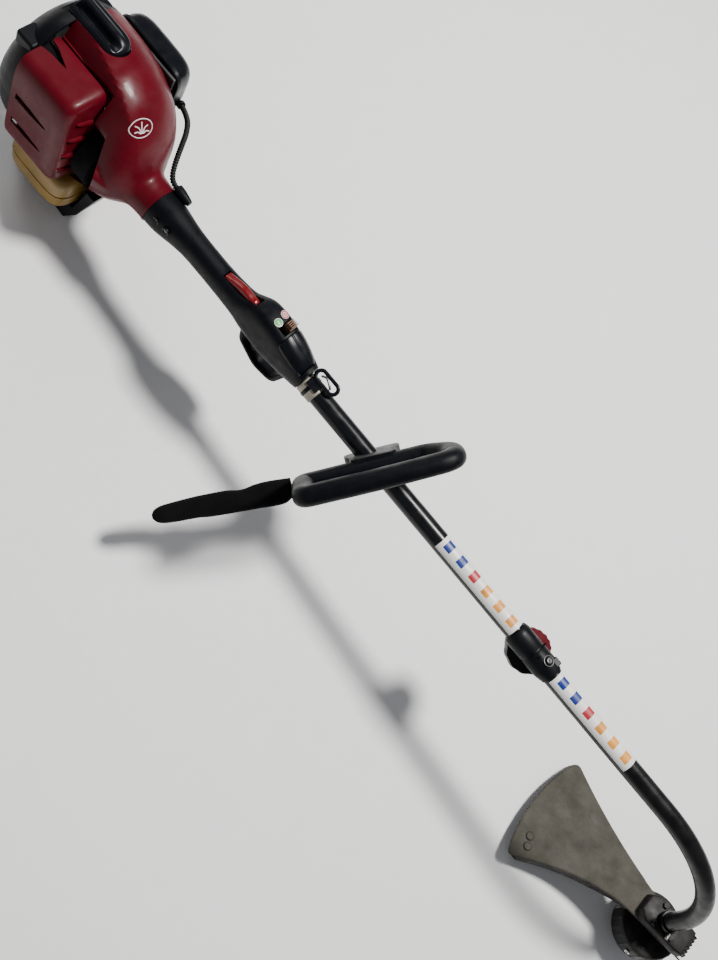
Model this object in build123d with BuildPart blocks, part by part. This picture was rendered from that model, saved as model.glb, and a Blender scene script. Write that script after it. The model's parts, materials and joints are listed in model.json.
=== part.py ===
"""Petrol string trimmer with a curved, two-part boom.

The model is drawn in the boom's own frame: +X runs along the boom towards the cutting
head, +Y is the operator's left and +Z is up. Each finished piece is then stood in the
attitude in which the trimmer rests on the ground, on its engine foot and its shield's rim,
with the origin at the centre of the foot's underside. All sizes are in millimetres.
"""
import os
from math import cos, pi, radians, sin

from build123d import *

# ---------------------------------------------------------------- driving dimensions
boom_radius = 12.7          # 25.4 mm tube
boom_wall = 1.6
boom_start = -136           # end of the tube inside the engine's neck
boom_split = 558            # where the lower boom butts against the upper one
bend_start = 827
bend_radius = 194
bend_angle = 80
tail_length = 64            # straight tube below the bend
slide_gap = 0.06            # radial gap of a running fit
clear_gap = 0.4             # gap between neighbours that move past each other

rest_angle = 7              # slope of the boom when the trimmer stands on the ground
foot_x = -240               # middle of the engine foot along the boom

neck_front = -112
neck_radius = 25.5
shroud_wall = 2.6
shroud_rear = -296
cylinder_x = -238
cylinder_tilt = 11          # the cylinder leans to the operator's left
muffler_front = -213
muffler_top = 105
tank_front = -202
tank_rear = -300
tank_top = -54
tank_bottom = -112

housing_front = 154
hanger_x = 166
handle_x = 283
handle_roll = 29            # the loop leans to the operator's right
handle_skew = 26            # its right end is nearer the engine
handle_lean = 9.5           # its top is nearer the head
handle_half = 102
handle_top = 108
handle_bore = boom_radius + slide_gap

coupler_rear = 544
coupler_front = 614
coupler_radius = 16.8
knob_x = 580
knob_roll = 28              # the knob hangs down and to the operator's left
knob_radius = 27.5
flange_radius = 25
button_x = 595

spool_top = 77              # distances below the bend, along the head's axis
spool_bottom = 117
spool_radius = 46
dome_radius = 30
dome_centre = 105
shield_level = 50
shield_radius = 238
skirt_depth = 22
shield_left = 20            # degrees either side of straight back to the operator
shield_right = 23

# ---------------------------------------------------------------- places worked out
bend_end_x = bend_start + bend_radius * sin(radians(bend_angle))
bend_end_z = -bend_radius * (1 - cos(radians(bend_angle)))
head_x = cos(radians(bend_angle))
head_z = -sin(radians(bend_angle))


def head_point(below):
    """A point on the head's axis, this far below the end of the bend."""
    return (bend_end_x + below * head_x, 0, bend_end_z + below * head_z)


def head_plane(below):
    """A plane across the head's axis: x towards the operator, z down the axis."""
    return Plane(origin=head_point(below), x_dir=(head_z, 0, -head_x), z_dir=(head_x, 0, head_z))


bend_middle = (
    bend_start + bend_radius * sin(radians(bend_angle / 2)),
    0,
    -bend_radius * (1 - cos(radians(bend_angle / 2))),
)
rim_bottom = head_plane(shield_level + skirt_depth).from_local_coords((shield_radius, 0, 0))
floor_height = rim_bottom.X * sin(radians(rest_angle)) + rim_bottom.Z * cos(radians(rest_angle))
foot_z = (floor_height - foot_x * sin(radians(rest_angle))) / cos(radians(rest_angle))
floor_plane = Plane(
    origin=(foot_x, 0, foot_z),
    x_dir=(cos(radians(rest_angle)), 0, -sin(radians(rest_angle))),
    z_dir=(sin(radians(rest_angle)), 0, cos(radians(rest_angle))),
)
resting_x = -(foot_x * cos(radians(rest_angle)) - foot_z * sin(radians(rest_angle)))
resting_place = Location((resting_x, 0, -floor_height), (0, -rest_angle, 0))

cylinder_plane = Plane(
    origin=(cylinder_x, 0, 0),
    x_dir=(1, 0, 0),
    z_dir=(0, sin(radians(cylinder_tilt)), cos(radians(cylinder_tilt))),
)

left_axis = Vector(
    sin(radians(handle_skew)),
    cos(radians(handle_skew)) * cos(radians(handle_roll)),
    cos(radians(handle_skew)) * sin(radians(handle_roll)),
)
forward_axis = Vector(
    cos(radians(handle_skew)),
    -sin(radians(handle_skew)) * cos(radians(handle_roll)),
    -sin(radians(handle_skew)) * sin(radians(handle_roll)),
)
square_up = Vector(0, -sin(radians(handle_roll)), cos(radians(handle_roll)))
up_axis = square_up * cos(radians(handle_lean)) + forward_axis * sin(radians(handle_lean))
handle_normal = left_axis.cross(up_axis)
handle_plane = Plane(origin=(handle_x, 0, 0), x_dir=left_axis, z_dir=handle_normal)

knob_axis = Vector(0, sin(radians(knob_roll)), -cos(radians(knob_roll)))


def knob_plane(out):
    """A plane across the knob's axis, this far out from the boom's axis."""
    return Plane(origin=Vector(knob_x, 0, 0) + knob_axis * out, x_dir=(1, 0, 0), z_dir=knob_axis)


pieces = {}


def across(x):
    """A plane across the boom: x is the operator's left, y is up."""
    return Plane.YZ.offset(x)


def bar_along(rear, front, radius, bore=0.0):
    """A round bar or sleeve about the boom's axis."""
    with BuildPart() as bar:
        with BuildSketch(across(rear)):
            Circle(radius)
            if bore > 0:
                Circle(bore, mode=Mode.SUBTRACT)
        extrude(amount=front - rear)
    return bar


def block(low, high, radius=0.0):
    """A block between two corners, with every edge rounded."""
    sizes = [high[i] - low[i] for i in range(3)]
    middle = [(high[i] + low[i]) / 2 for i in range(3)]
    with BuildPart() as body:
        with BuildSketch(Plane(origin=(middle[0], middle[1], low[2]))):
            Rectangle(sizes[0], sizes[1])
        extrude(amount=sizes[2])
        if radius > 0:
            fillet(body.edges(), radius)
    return body


# ================================================================ engine casings
# One section of the fan shroud: place along the boom, middle (left, up), half width, half height.
shroud_sections = [
    (neck_front, 0, 0, neck_radius, neck_radius),
    (-138, 0, 1, 28, 28),
    (-147, 2, 7, 40, 41),
    (-160, 5, 15, 55, 58),
    (-182, 8, 22, 67, 76),
    (-212, 9, 25, 76, 88),
    (-230, 9.5, 25.7, 79.5, 91),
    (-250, 10, 26, 82, 93),
    (-273, 10, 25.7, 83.5, 93.5),
    (shroud_rear, 10, 25, 84, 93),
]


def shroud_loft(inset):
    """The smooth pear shape of the shroud, drawn in by an inset."""
    with BuildPart() as shape:
        for x, left, up, half_width, half_height in shroud_sections:
            with BuildSketch(across(x)):
                with Locations((left, up)):
                    Ellipse(half_width - inset, half_height - inset)
        loft()
    return shape


shroud_outside = shroud_loft(0)
shroud_inside = shroud_loft(shroud_wall)
cap_front = -236            # rounded nose of the spark plug cap in the crown
cap_rear = -310
cap_middle = 23
flank_left = -12            # the shroud's right wall stands beside the muffler cover
carb_bay_right = 50
carb_bay_top = 52
airbox_seat = 78.4          # the air box stands on the shroud at this distance to the left

with BuildPart() as shroud_flank:
    # upright wall that closes the shroud beside the muffler
    with BuildSketch(Plane.XZ.offset(-(flank_left + shroud_wall))):
        with Locations(((muffler_front + 4 + shroud_rear) / 2, 66)):
            Rectangle(muffler_front + 4 - shroud_rear, 96)
    extrude(amount=shroud_wall)
    add(shroud_inside.part, mode=Mode.INTERSECT)
    add(block((-275, -14, 10), (-205, -4, 98)).part, mode=Mode.SUBTRACT)

with BuildPart() as fan_housing:
    add(shroud_outside.part)
    add(shroud_inside.part, mode=Mode.SUBTRACT)
    # the neck is a socket for the boom
    with BuildSketch(across(-136)):
        Circle(26)
    extrude(amount=22)
    with BuildSketch(across(-138)):
        Circle(boom_radius)
    extrude(amount=40, mode=Mode.SUBTRACT)
    # bay for the muffler on the right, open below and behind
    with BuildSketch(across(shroud_rear - 5)):
        with Locations((flank_left - 60, 10)):
            Rectangle(120, 240)
    extrude(amount=muffler_front + 4 - shroud_rear + 5, mode=Mode.SUBTRACT)
    # bay for the carburettor and air box on the left
    with BuildSketch(across(shroud_rear - 5)):
        with Locations((carb_bay_right + 40, carb_bay_top - 80)):
            Rectangle(80, 160)
        with Locations((airbox_seat + 50, 0)):
            Rectangle(100, 176)
    extrude(amount=-190 - shroud_rear + 5, mode=Mode.SUBTRACT)
    # open underside over the tank
    with BuildSketch(across(shroud_rear - 5)):
        with Locations((0, tank_top - 50 + 2)):
            Rectangle(240, 100)
    extrude(amount=-188 - shroud_rear + 5, mode=Mode.SUBTRACT)
    # mouth for the spark plug cap in the crown
    with BuildSketch(Plane.XY.offset(90)):
        with Locations((-275, 23)):
            SlotOverall(78, 38)
    extrude(amount=40, mode=Mode.SUBTRACT)
    add(shroud_flank.part)
pieces["fan_housing"] = fan_housing

# One section of the rear cover: place along the boom, middle (left, up), half width, half height.
rear_sections = [
    (shroud_rear - clear_gap, 10, 25, 84, 93),
    (-312, 10, 25, 82, 89),
    (-328, 9, 24, 72, 76),
    (-336, 8, 22, 56, 58),
]
rope_eye = (-308, -36)      # where the starter rope leaves, at the lower left


def rear_loft(inset):
    """The rounded back of the engine, drawn in by an inset."""
    with BuildPart() as shape:
        for x, left, up, half_width, half_height in rear_sections:
            with BuildSketch(across(x + inset if x < shroud_rear - 20 else x)):
                with Locations((left, up)):
                    Ellipse(half_width - inset, half_height - inset)
        loft()
    return shape


rear_outside = rear_loft(0)
rear_inside = rear_loft(shroud_wall)
with BuildPart() as rear_cover:
    add(rear_outside.part)
    add(rear_inside.part, mode=Mode.SUBTRACT)
    # post that the starter pulley and its spring turn on
    with BuildSketch(across(-334)):
        Circle(9)
    extrude(amount=14)
    # cut away for the tank below and for the air box on the left
    with BuildSketch(across(-340)):
        with Locations((0, tank_top - 50 + 2)):
            Rectangle(240, 100)
        with Locations((airbox_seat + 50, 36)):
            Rectangle(100, 104)
    extrude(amount=60, mode=Mode.SUBTRACT)
    # cooling slots in the back
    with BuildSketch(across(-340)):
        with PolarLocations(28, 10, start_angle=18):
            SlotOverall(20, 4)
    extrude(amount=12, mode=Mode.SUBTRACT)
    with BuildSketch(Plane.XZ.offset(-30)):
        with Locations(rope_eye):
            Circle(3)
    extrude(amount=-80, mode=Mode.SUBTRACT)
    with BuildSketch(Plane.XY.offset(90)):
        with Locations((-275, cap_middle)):
            SlotOverall(78, 38)
    extrude(amount=40, mode=Mode.SUBTRACT)
pieces["rear_cover"] = rear_cover

with BuildPart() as plug_cap:
    with BuildSketch(Plane.XY.offset(95)):
        with Locations(((cap_front + cap_rear) / 2, cap_middle)):
            SlotOverall(cap_front - cap_rear, 37.2)
    extrude(amount=29, taper=9)
    fillet(plug_cap.edges().group_by(Axis.Z)[-1], 8)
    with BuildSketch(Plane.XY.offset(93)):
        with Locations(((cap_front + cap_rear) / 2, cap_middle)):
            SlotOverall(cap_front - cap_rear - 5, 32)
    extrude(amount=25, taper=9, mode=Mode.SUBTRACT)
    # moulded finger groove
    with BuildSketch(Plane.XY.offset(119)):
        with Locations((-282, cap_middle - 5)):
            SlotOverall(44, 7)
    extrude(amount=10, mode=Mode.SUBTRACT)
pieces["plug_cap"] = plug_cap

muffler_right = -76
muffler_left = -18
muffler_bottom = -46
muffler_rear = -294
louvres = ((62, -37), (35, -44), (5, -47), (-25, -47))      # height and place of each mouth
with BuildPart() as muffler_cover:
    add(block((muffler_rear, muffler_right, muffler_bottom), (muffler_front, muffler_left + 20, muffler_top), 13).part)
    # trimmed flat beside the shroud, and hollow
    with BuildSketch(Plane.XZ.offset(-muffler_left)):
        with Locations((-250, 30)):
            Rectangle(140, 240)
    extrude(amount=-60, mode=Mode.SUBTRACT)
    add(
        block(
            (muffler_rear - 20, muffler_right + shroud_wall, muffler_bottom + shroud_wall),
            (muffler_front - shroud_wall, muffler_left + 30, muffler_top - shroud_wall),
            10,
        ).part,
        mode=Mode.SUBTRACT,
    )
    # pointed flute in the top face
    with BuildSketch(Plane.XY.offset(muffler_top - 4)):
        with BuildLine():
            Polyline((-296, -28), (-256, -38), (-296, -44), close=True)
        make_face()
    extrude(amount=10, mode=Mode.SUBTRACT)
    # two slots in the outer side
    for slot_z in (2, 47):
        with BuildSketch(Plane.XZ.offset(-muffler_right + 5)):
            with Locations((-262, slot_z)):
                SlotOverall(46, 6)
        extrude(amount=-12, mode=Mode.SUBTRACT)
    # louvre mouths in the front face
    for louvre_z, louvre_y in louvres:
        with BuildSketch(across(muffler_front + 2)):
            with Locations(Location((louvre_y, louvre_z), -24)):
                SlotOverall(44, 7)
        extrude(amount=-8, mode=Mode.SUBTRACT)
    # a lip over each mouth
    for louvre_z, louvre_y in louvres:
        with BuildSketch(across(muffler_front - 2)):
            with Locations(Location((louvre_y, louvre_z + 5.6), -24)):
                SlotOverall(44, 4)
        extrude(amount=5.4, taper=12)
pieces["muffler_cover"] = muffler_cover

with BuildPart() as muffler:
    add(block((-286, -70, -32), (-220, -38, 72), 8).part)
    with BuildSketch(Plane.XZ.offset(19.6)):
        with Locations((cylinder_x, 56)):
            Rectangle(34, 24)
    extrude(amount=20)
    add(block((-284.5, -68.5, -30.5), (-221.5, -39.5, 70.5), 6.5).part, mode=Mode.SUBTRACT)
    with BuildSketch(Plane.XZ.offset(10)):
        with Locations((cylinder_x, 56)):
            Circle(8)
    extrude(amount=32, mode=Mode.SUBTRACT)
    # outlet stub towards the rear
    with BuildSketch(across(-292)):
        with Locations((-56, -12)):
            Circle(7)
            Circle(5, mode=Mode.SUBTRACT)
    extrude(amount=8)
pieces["muffler"] = muffler

# ================================================================ engine block
crank_radius = 6
case_front = -218
case_rear = -264
with BuildPart() as crankcase:
    add(block((case_rear, -32, -43), (case_front, 32, 44), 6).part)
    # top face square to the cylinder
    with BuildSketch(cylinder_plane.offset(36.8)):
        Rectangle(90, 100)
    extrude(amount=30, mode=Mode.SUBTRACT)
    with BuildSketch(across(case_front - 1)):
        Circle(17)
    extrude(amount=8)
    with BuildSketch(across(case_rear - 26)):
        Circle(15)
    extrude(amount=28)
    # crank chamber and bearing bores
    with BuildSketch(across(case_rear + 5)):
        Circle(24)
    extrude(amount=case_front - case_rear - 10, mode=Mode.SUBTRACT)
    with BuildSketch(across(case_rear - 40)):
        Circle(11)
    extrude(amount=100, mode=Mode.SUBTRACT)
    # mouth for the cylinder
    with BuildSketch(cylinder_plane):
        Circle(17)
    extrude(amount=70, mode=Mode.SUBTRACT)
    # lugs that carry the starter housing
    for lug_y in (-26, 26):
        with BuildSketch(across(-296)):
            with Locations((lug_y, -38)):
                Circle(5)
        extrude(amount=34)
pieces["crankcase"] = crankcase

with BuildPart() as shaft_bearings:
    for bearing_x in (-216, -282):
        with BuildSketch(across(bearing_x - 4)):
            Circle(11)
            Circle(crank_radius + slide_gap, mode=Mode.SUBTRACT)
        extrude(amount=8)
    # the clutch drum's bearing and its carrier in the neck
    with BuildSketch(across(-149.5)):
        Circle(14)
        Circle(9 + slide_gap, mode=Mode.SUBTRACT)
    extrude(amount=8)
    with BuildSketch(across(-149.5)):
        Circle(24)
        Circle(14, mode=Mode.SUBTRACT)
    extrude(amount=4)
pieces["shaft_bearings"] = shaft_bearings

plug_offset = -10           # the spark plug stands towards the rear of the cylinder head
with BuildPart() as cylinder:
    with BuildSketch(cylinder_plane.offset(37)):
        Circle(22)
    extrude(amount=56.5)
    with BuildSketch(cylinder_plane.offset(37)):
        RectangleRounded(52, 52, 6)
    extrude(amount=4)
    for fin in range(8):
        with BuildSketch(cylinder_plane.offset(46 + fin * 6.5)):
            RectangleRounded(58, 54, 12)
        extrude(amount=2)
    with BuildSketch(cylinder_plane.offset(30)):
        Circle(16)
    extrude(amount=56, mode=Mode.SUBTRACT)
    with BuildSketch(cylinder_plane.offset(84)):
        with Locations((plug_offset, 0)):
            Circle(5)
    extrude(amount=30, mode=Mode.SUBTRACT)
pieces["cylinder"] = cylinder

piston_low = 46
with BuildPart() as piston:
    with BuildSketch(cylinder_plane.offset(piston_low)):
        Circle(15.9)
    extrude(amount=26)
    with BuildSketch(cylinder_plane.offset(piston_low - 1)):
        Circle(12)
    extrude(amount=20, mode=Mode.SUBTRACT)
    for ring in range(2):
        with BuildSketch(cylinder_plane.offset(piston_low + 19 + ring * 3)):
            Circle(16.5)
            Circle(15, mode=Mode.SUBTRACT)
        extrude(amount=1.2, mode=Mode.SUBTRACT)
pieces["piston"] = piston

pin_height = 14             # crank throw
with BuildPart() as connecting_rod:
    with BuildSketch(across(-245)):
        with Locations((pin_height * sin(radians(cylinder_tilt)), pin_height * cos(radians(cylinder_tilt)))):
            Circle(8)
        with Locations((56 * sin(radians(cylinder_tilt)), 56 * cos(radians(cylinder_tilt)))):
            Circle(6.5)
    extrude(amount=8)
    with BuildSketch(cylinder_plane.offset(pin_height)):
        with Locations((-3, 0)):
            Rectangle(6, 9)
    extrude(amount=42)
    # the crank pin stays with the rod, just clear of the web
    with BuildSketch(across(-245)):
        with Locations((pin_height * sin(radians(cylinder_tilt)), pin_height * cos(radians(cylinder_tilt)))):
            Circle(4.5)
    extrude(amount=11.5)
pieces["connecting_rod"] = connecting_rod

crankshaft_front = -169
with BuildPart() as crankshaft:
    with BuildSketch(across(-233)):
        Circle(22)
    extrude(amount=8)
    with BuildSketch(across(-226)):
        Circle(crank_radius)
    extrude(amount=crankshaft_front + 226)
    # the rear half, on the starter's side of the crank pin
    with BuildSketch(across(-300)):
        Circle(crank_radius)
    extrude(amount=46)
    with BuildSketch(across(-257)):
        Circle(20)
    extrude(amount=6)
pieces["crankshaft"] = crankshaft

with BuildPart() as flywheel:
    with BuildSketch(across(-208)):
        Circle(40)
    extrude(amount=7)
    with BuildSketch(across(-202)):
        Circle(16)
    extrude(amount=11)
    with BuildSketch(across(-204)):
        with PolarLocations(32, 14):
            Rectangle(34, 2.4)
    extrude(amount=16)
    with BuildSketch(across(-205)):
        Circle(17)
        Circle(16, mode=Mode.SUBTRACT)
    extrude(amount=2)
    with BuildSketch(across(-210)):
        Circle(crank_radius)
    extrude(amount=24, mode=Mode.SUBTRACT)
pieces["flywheel"] = flywheel

with BuildPart() as ignition_module:
    add(block((-208.6, 12, 42), (-186, 42, 66), 3).part)
    with BuildSketch(across(-206)):
        with Locations((30, 56)):
            Rectangle(10, 40)
    extrude(amount=14)
    add(bar_along(-214, -180, 51.5).part, mode=Mode.SUBTRACT)
pieces["ignition_module"] = ignition_module

drum_rear = -184
drum_front = -164
with BuildPart() as clutch_rotor:
    with BuildSketch(across(-182)):
        Circle(11)
    extrude(amount=14)
    for side in range(3):
        with BuildSketch(across(-181)):
            Circle(28)
            Circle(15, mode=Mode.SUBTRACT)
            with Locations(Location((0, 0), 120 * side)):
                Rectangle(4, 70, align=(Align.CENTER, Align.MIN), mode=Mode.SUBTRACT)
                Rectangle(50, 70, align=(Align.MIN, Align.CENTER), mode=Mode.SUBTRACT)
        extrude(amount=11)
    with BuildSketch(across(-183)):
        with PolarLocations(12, 3, start_angle=90):
            Rectangle(14, 6)
    extrude(amount=13)
    with BuildSketch(across(-186)):
        Circle(crank_radius)
    extrude(amount=30, mode=Mode.SUBTRACT)
pieces["clutch_rotor"] = clutch_rotor

with BuildPart() as clutch_drum:
    with BuildSketch(across(drum_rear)):
        Circle(33)
        Circle(30.5, mode=Mode.SUBTRACT)
    extrude(amount=drum_front - drum_rear)
    with BuildSketch(across(drum_front - 2.5)):
        Circle(33)
    extrude(amount=2.5)
    with BuildSketch(across(drum_front)):
        Circle(9)
    extrude(amount=14)
    with BuildSketch(across(drum_front - 4)):
        Circle(4)
    extrude(amount=30, mode=Mode.SUBTRACT)
    with BuildSketch(across(drum_front - 10)):
        with PolarLocations(20, 6):
            Circle(4)
    extrude(amount=20, mode=Mode.SUBTRACT)
pieces["clutch_drum"] = clutch_drum

with BuildPart() as spark_plug:
    with BuildSketch(cylinder_plane.offset(84.5)):
        with Locations((plug_offset, 0)):
            Circle(4.9)
    extrude(amount=10)
    with BuildSketch(cylinder_plane.offset(93.8)):
        with Locations((plug_offset, 0)):
            RegularPolygon(6.3, 6)
    extrude(amount=5)
    with BuildSketch(cylinder_plane.offset(98)):
        with Locations((plug_offset, 0)):
            Circle(3.6)
    extrude(amount=5)
    # rubber boot of the ignition lead
    with BuildSketch(cylinder_plane.offset(99.4)):
        with Locations((plug_offset, 0)):
            Circle(6)
            Circle(3.6, mode=Mode.SUBTRACT)
    extrude(amount=7)
    with BuildSketch(cylinder_plane.offset(103)):
        with Locations((plug_offset, 0)):
            Circle(6)
    extrude(amount=4.5)
pieces["spark_plug"] = spark_plug

# ================================================================ carburettor side
with BuildPart() as carburettor:
    add(block((-256, 46, -4), (-220, 78, 40), 4).part)
    # intake neck to the cylinder
    with BuildSketch(Plane.XZ.offset(-38.6)):
        with Locations((cylinder_x, 46)):
            Rectangle(30, 22)
    extrude(amount=-12)
    with BuildSketch(across(-222)):
        with Locations((62, 18)):
            Circle(8)
    extrude(amount=12)
    # throttle arm that the cable pulls
    add(block((-211, 60, 14), (-206, 78, 22), 2).part)
    with BuildSketch(Plane.XZ.offset(-70)):
        with Locations((cylinder_x, 20)):
            Circle(9)
    extrude(amount=-20, mode=Mode.SUBTRACT)
pieces["carburettor"] = carburettor

airbox_rear = -304
airbox_front = -197
airbox_low = -14
airbox_high = 79
airbox_left = 119
primer_place = (-218, -27)
choke_place = (-284, -24)
with BuildPart() as filter_plate:
    add(block((airbox_rear + 6, 79, airbox_low + 6), (airbox_front - 6, 83, airbox_high - 6), 1.5).part)
    with BuildSketch(Plane.XZ.offset(-75)):
        with Locations((cylinder_x, 20)):
            Circle(9)
    extrude(amount=-20, mode=Mode.SUBTRACT)
    # lower tab with the primer's seat
    add(block((-232, 79, -40), (-204, 83, -4), 1.5).part)
    with BuildSketch(Plane.XZ.offset(-75)):
        with Locations(primer_place):
            Circle(8.6)
    extrude(amount=-20, mode=Mode.SUBTRACT)
    # bracket and shouldered pivot of the choke lever
    add(block((-294, 79, -34), (-274, 83, -4), 1.5).part)
    with BuildSketch(Plane.XZ.offset(-82)):
        with Locations(choke_place):
            Circle(3)
    extrude(amount=-7)
    with BuildSketch(Plane.XZ.offset(-88.6)):
        with Locations(choke_place):
            Circle(5)
    extrude(amount=-1.5)
pieces["filter_plate"] = filter_plate

with BuildPart() as air_filter:
    add(block((-292, 83.2, 4), (-214, 98, 68), 6).part)
pieces["air_filter"] = air_filter

with BuildPart() as filter_cover:
    add(block((airbox_rear, 59, airbox_low), (airbox_front, airbox_left, airbox_high), 15).part)
    with BuildSketch(Plane.XZ.offset(-83.4)):
        with Locations(((airbox_rear + airbox_front) / 2, 35)):
            Rectangle(200, 200)
    extrude(amount=40, mode=Mode.SUBTRACT)
    add(
        block(
            (airbox_rear + 2.5, 59, airbox_low + 2.5),
            (airbox_front - 2.5, airbox_left - 2.5, airbox_high - 2.5),
            13,
        ).part,
        mode=Mode.SUBTRACT,
    )
pieces["filter_cover"] = filter_cover

with BuildPart() as choke_lever:
    with BuildSketch(Plane.XZ.offset(-84)):
        with Locations(choke_place):
            Circle(7)
            Circle(3 + slide_gap, mode=Mode.SUBTRACT)
    extrude(amount=-4)
    add(block((-287, 84, -52), (-281, 88, -30.5), 1.5).part)
    add(block((-289, 84, -56), (-279, 100, -50), 2).part)
pieces["choke_lever"] = choke_lever

with BuildPart() as primer_bulb:
    with BuildSketch(Plane.XZ.offset(-78)):
        with Locations(primer_place):
            Circle(8.2)
    extrude(amount=-9)
    with BuildSketch(Plane.XZ.offset(-87)):
        with Locations(primer_place):
            Circle(8.2)
    extrude(amount=-7, taper=28)
pieces["primer_bulb"] = primer_bulb

# ================================================================ fuel tank and foot
filler_place = (-232, -84)
with BuildPart() as fuel_tank:
    add(block((tank_rear, -60, tank_bottom), (tank_front, 60, tank_top), 12).part)
    add(
        block((tank_rear + 2.5, -57.5, tank_bottom + 2.5), (tank_front - 2.5, 57.5, tank_top - 2.5), 10).part,
        mode=Mode.SUBTRACT,
    )
    # filler neck on the left
    with BuildSketch(Plane.XZ.offset(-57)):
        with Locations(filler_place):
            Circle(14)
    extrude(amount=-13)
    with BuildSketch(Plane.XZ.offset(-50)):
        with Locations(filler_place):
            Circle(11)
    extrude(amount=-30, mode=Mode.SUBTRACT)
    # fuel line up to the carburettor
    with BuildLine():
        fuel_route = FilletPolyline(
            (-240, 44, tank_top), (-240, 44, -40), (-240, 56, -20), (-240, 56, -4.1), radius=8
        )
    with BuildSketch(Plane(origin=fuel_route @ 0, z_dir=fuel_route % 0)):
        Circle(2.4)
    sweep()
pieces["fuel_tank"] = fuel_tank

with BuildPart() as fuel_cap:
    with BuildSketch(Plane.XZ.offset(-61.5)):
        with Locations(filler_place):
            Circle(20)
            with PolarLocations(21.5, 12):
                Circle(3, mode=Mode.SUBTRACT)
    extrude(amount=-15)
    with BuildSketch(Plane.XZ.offset(-60)):
        with Locations(filler_place):
            Circle(14 + clear_gap)
    extrude(amount=-12.5, mode=Mode.SUBTRACT)
    fillet(fuel_cap.edges().group_by(Axis.Y)[-1], 1.5)
pieces["fuel_cap"] = fuel_cap

foot_half = 34
with BuildPart() as engine_foot:
    with BuildSketch(Plane.XZ.offset(-foot_half)):
        with BuildLine():
            Polyline(
                (-187.6, -57), (-174, -57), (-192, -118), (-222, -170), (-296, -170),
                (-308, -118), (-308, -57), (-302, -57), (-302, -113.5), (-200.5, -113.5),
                close=True,
            )
        make_face()
    extrude(amount=2 * foot_half)
    # trimmed to the ground and opened out between the two runners
    split(bisect_by=floor_plane, keep=Keep.TOP)
    with BuildSketch(Plane.XY.offset(-180)):
        with Locations((foot_x - 29, 0)):
            RectangleRounded(36, 2 * foot_half - 22, 8)
    extrude(amount=64, mode=Mode.SUBTRACT)
    with BuildSketch(across(-330)):
        with Locations((0, -90)):
            Rectangle(2 * foot_half - 24, 44)
    extrude(amount=60, mode=Mode.SUBTRACT)
pieces["engine_foot"] = engine_foot

# ================================================================ recoil starter
starter_pull_y = 78
with BuildPart() as starter_pulley:
    with BuildSketch(across(-309)):
        Circle(34)
        Circle(crank_radius + slide_gap, mode=Mode.SUBTRACT)
    extrude(amount=10)
    with BuildSketch(across(-306.5)):
        Circle(35)
        Circle(30, mode=Mode.SUBTRACT)
    extrude(amount=5, mode=Mode.SUBTRACT)
pieces["starter_pulley"] = starter_pulley

with BuildPart() as rewind_spring:
    for turn in range(5):
        with BuildSketch(across(-319)):
            Circle(13 + turn * 4)
            Circle(11.8 + turn * 4, mode=Mode.SUBTRACT)
        extrude(amount=8)
    with BuildSketch(across(-319)):
        with Locations((0, 20)):
            Rectangle(1.2, 19)
    extrude(amount=8)
pieces["rewind_spring"] = rewind_spring

with BuildPart() as starter_handle:
    with BuildSketch(Plane.XZ.offset(-starter_pull_y)):
        with Locations(rope_eye):
            Circle(7)
    extrude(amount=-12, taper=-10)
    with BuildSketch(Plane.XZ.offset(-starter_pull_y - 12)):
        with Locations(rope_eye):
            SlotOverall(38, 13, rotation=90)
    extrude(amount=-11)
    fillet(starter_handle.edges().group_by(Axis.Y)[-1], 4)
pieces["starter_handle"] = starter_handle

# ================================================================ boom and drive
upper_boom = bar_along(boom_start, boom_split, boom_radius, boom_radius - boom_wall)
pieces["upper_boom"] = upper_boom

drive_radius = 4
pieces["upper_drive_shaft"] = bar_along(-167.5, 584, drive_radius)

with BuildPart() as shaft_bushings:
    for bushing_x in (-120, 60, 240, 420, 535):
        with BuildSketch(across(bushing_x)):
            Circle(boom_radius - boom_wall)
            Circle(drive_radius + slide_gap, mode=Mode.SUBTRACT)
        extrude(amount=16)
pieces["shaft_bushings"] = shaft_bushings

# ---------------------------------------------------------------- rear grip and throttle housing
# One section of the grip: place along the boom, middle height, half width, half height.
grip_sections = [
    (neck_front + 0.3, 0, 24.5, 24.5),
    (-84, 1, 22, 23),
    (-50, 3, 16.5, 18.5),
    (0, 3, 16.5, 18.5),
    (40, 5, 18, 21),
]
housing_sections = [
    (48, 8, 20, 24),
    (66, 14, 21, 32),
    (92, 13, 21, 33),
    (120, 11, 20, 29),
    (housing_front, 7, 17, 20),
]


def grip_loft(sections, inset):
    """A hand-sized casing about the boom."""
    with BuildPart() as shape:
        for x, up, half_width, half_height in sections:
            with BuildSketch(across(x)):
                with Locations((0, up)):
                    RectangleRounded(
                        2 * (half_width - inset), 2 * (half_height - inset), 0.82 * (half_width - inset)
                    )
        loft()
    return shape


grip_outside = grip_loft(grip_sections, 0)
housing_outside = grip_loft(housing_sections, 0)
conduit_radius = 3.6
cable_inlet = (20.8, 21.2)
lever_pocket_rear = 2
lever_pocket_front = 56
trigger_pivot = (72, -16.5)
lockout_pivot = (8, 18.3)
pivot_radius = 1.5
grip_screw_places = [(-97, 9), (-80, 10)]


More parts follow.
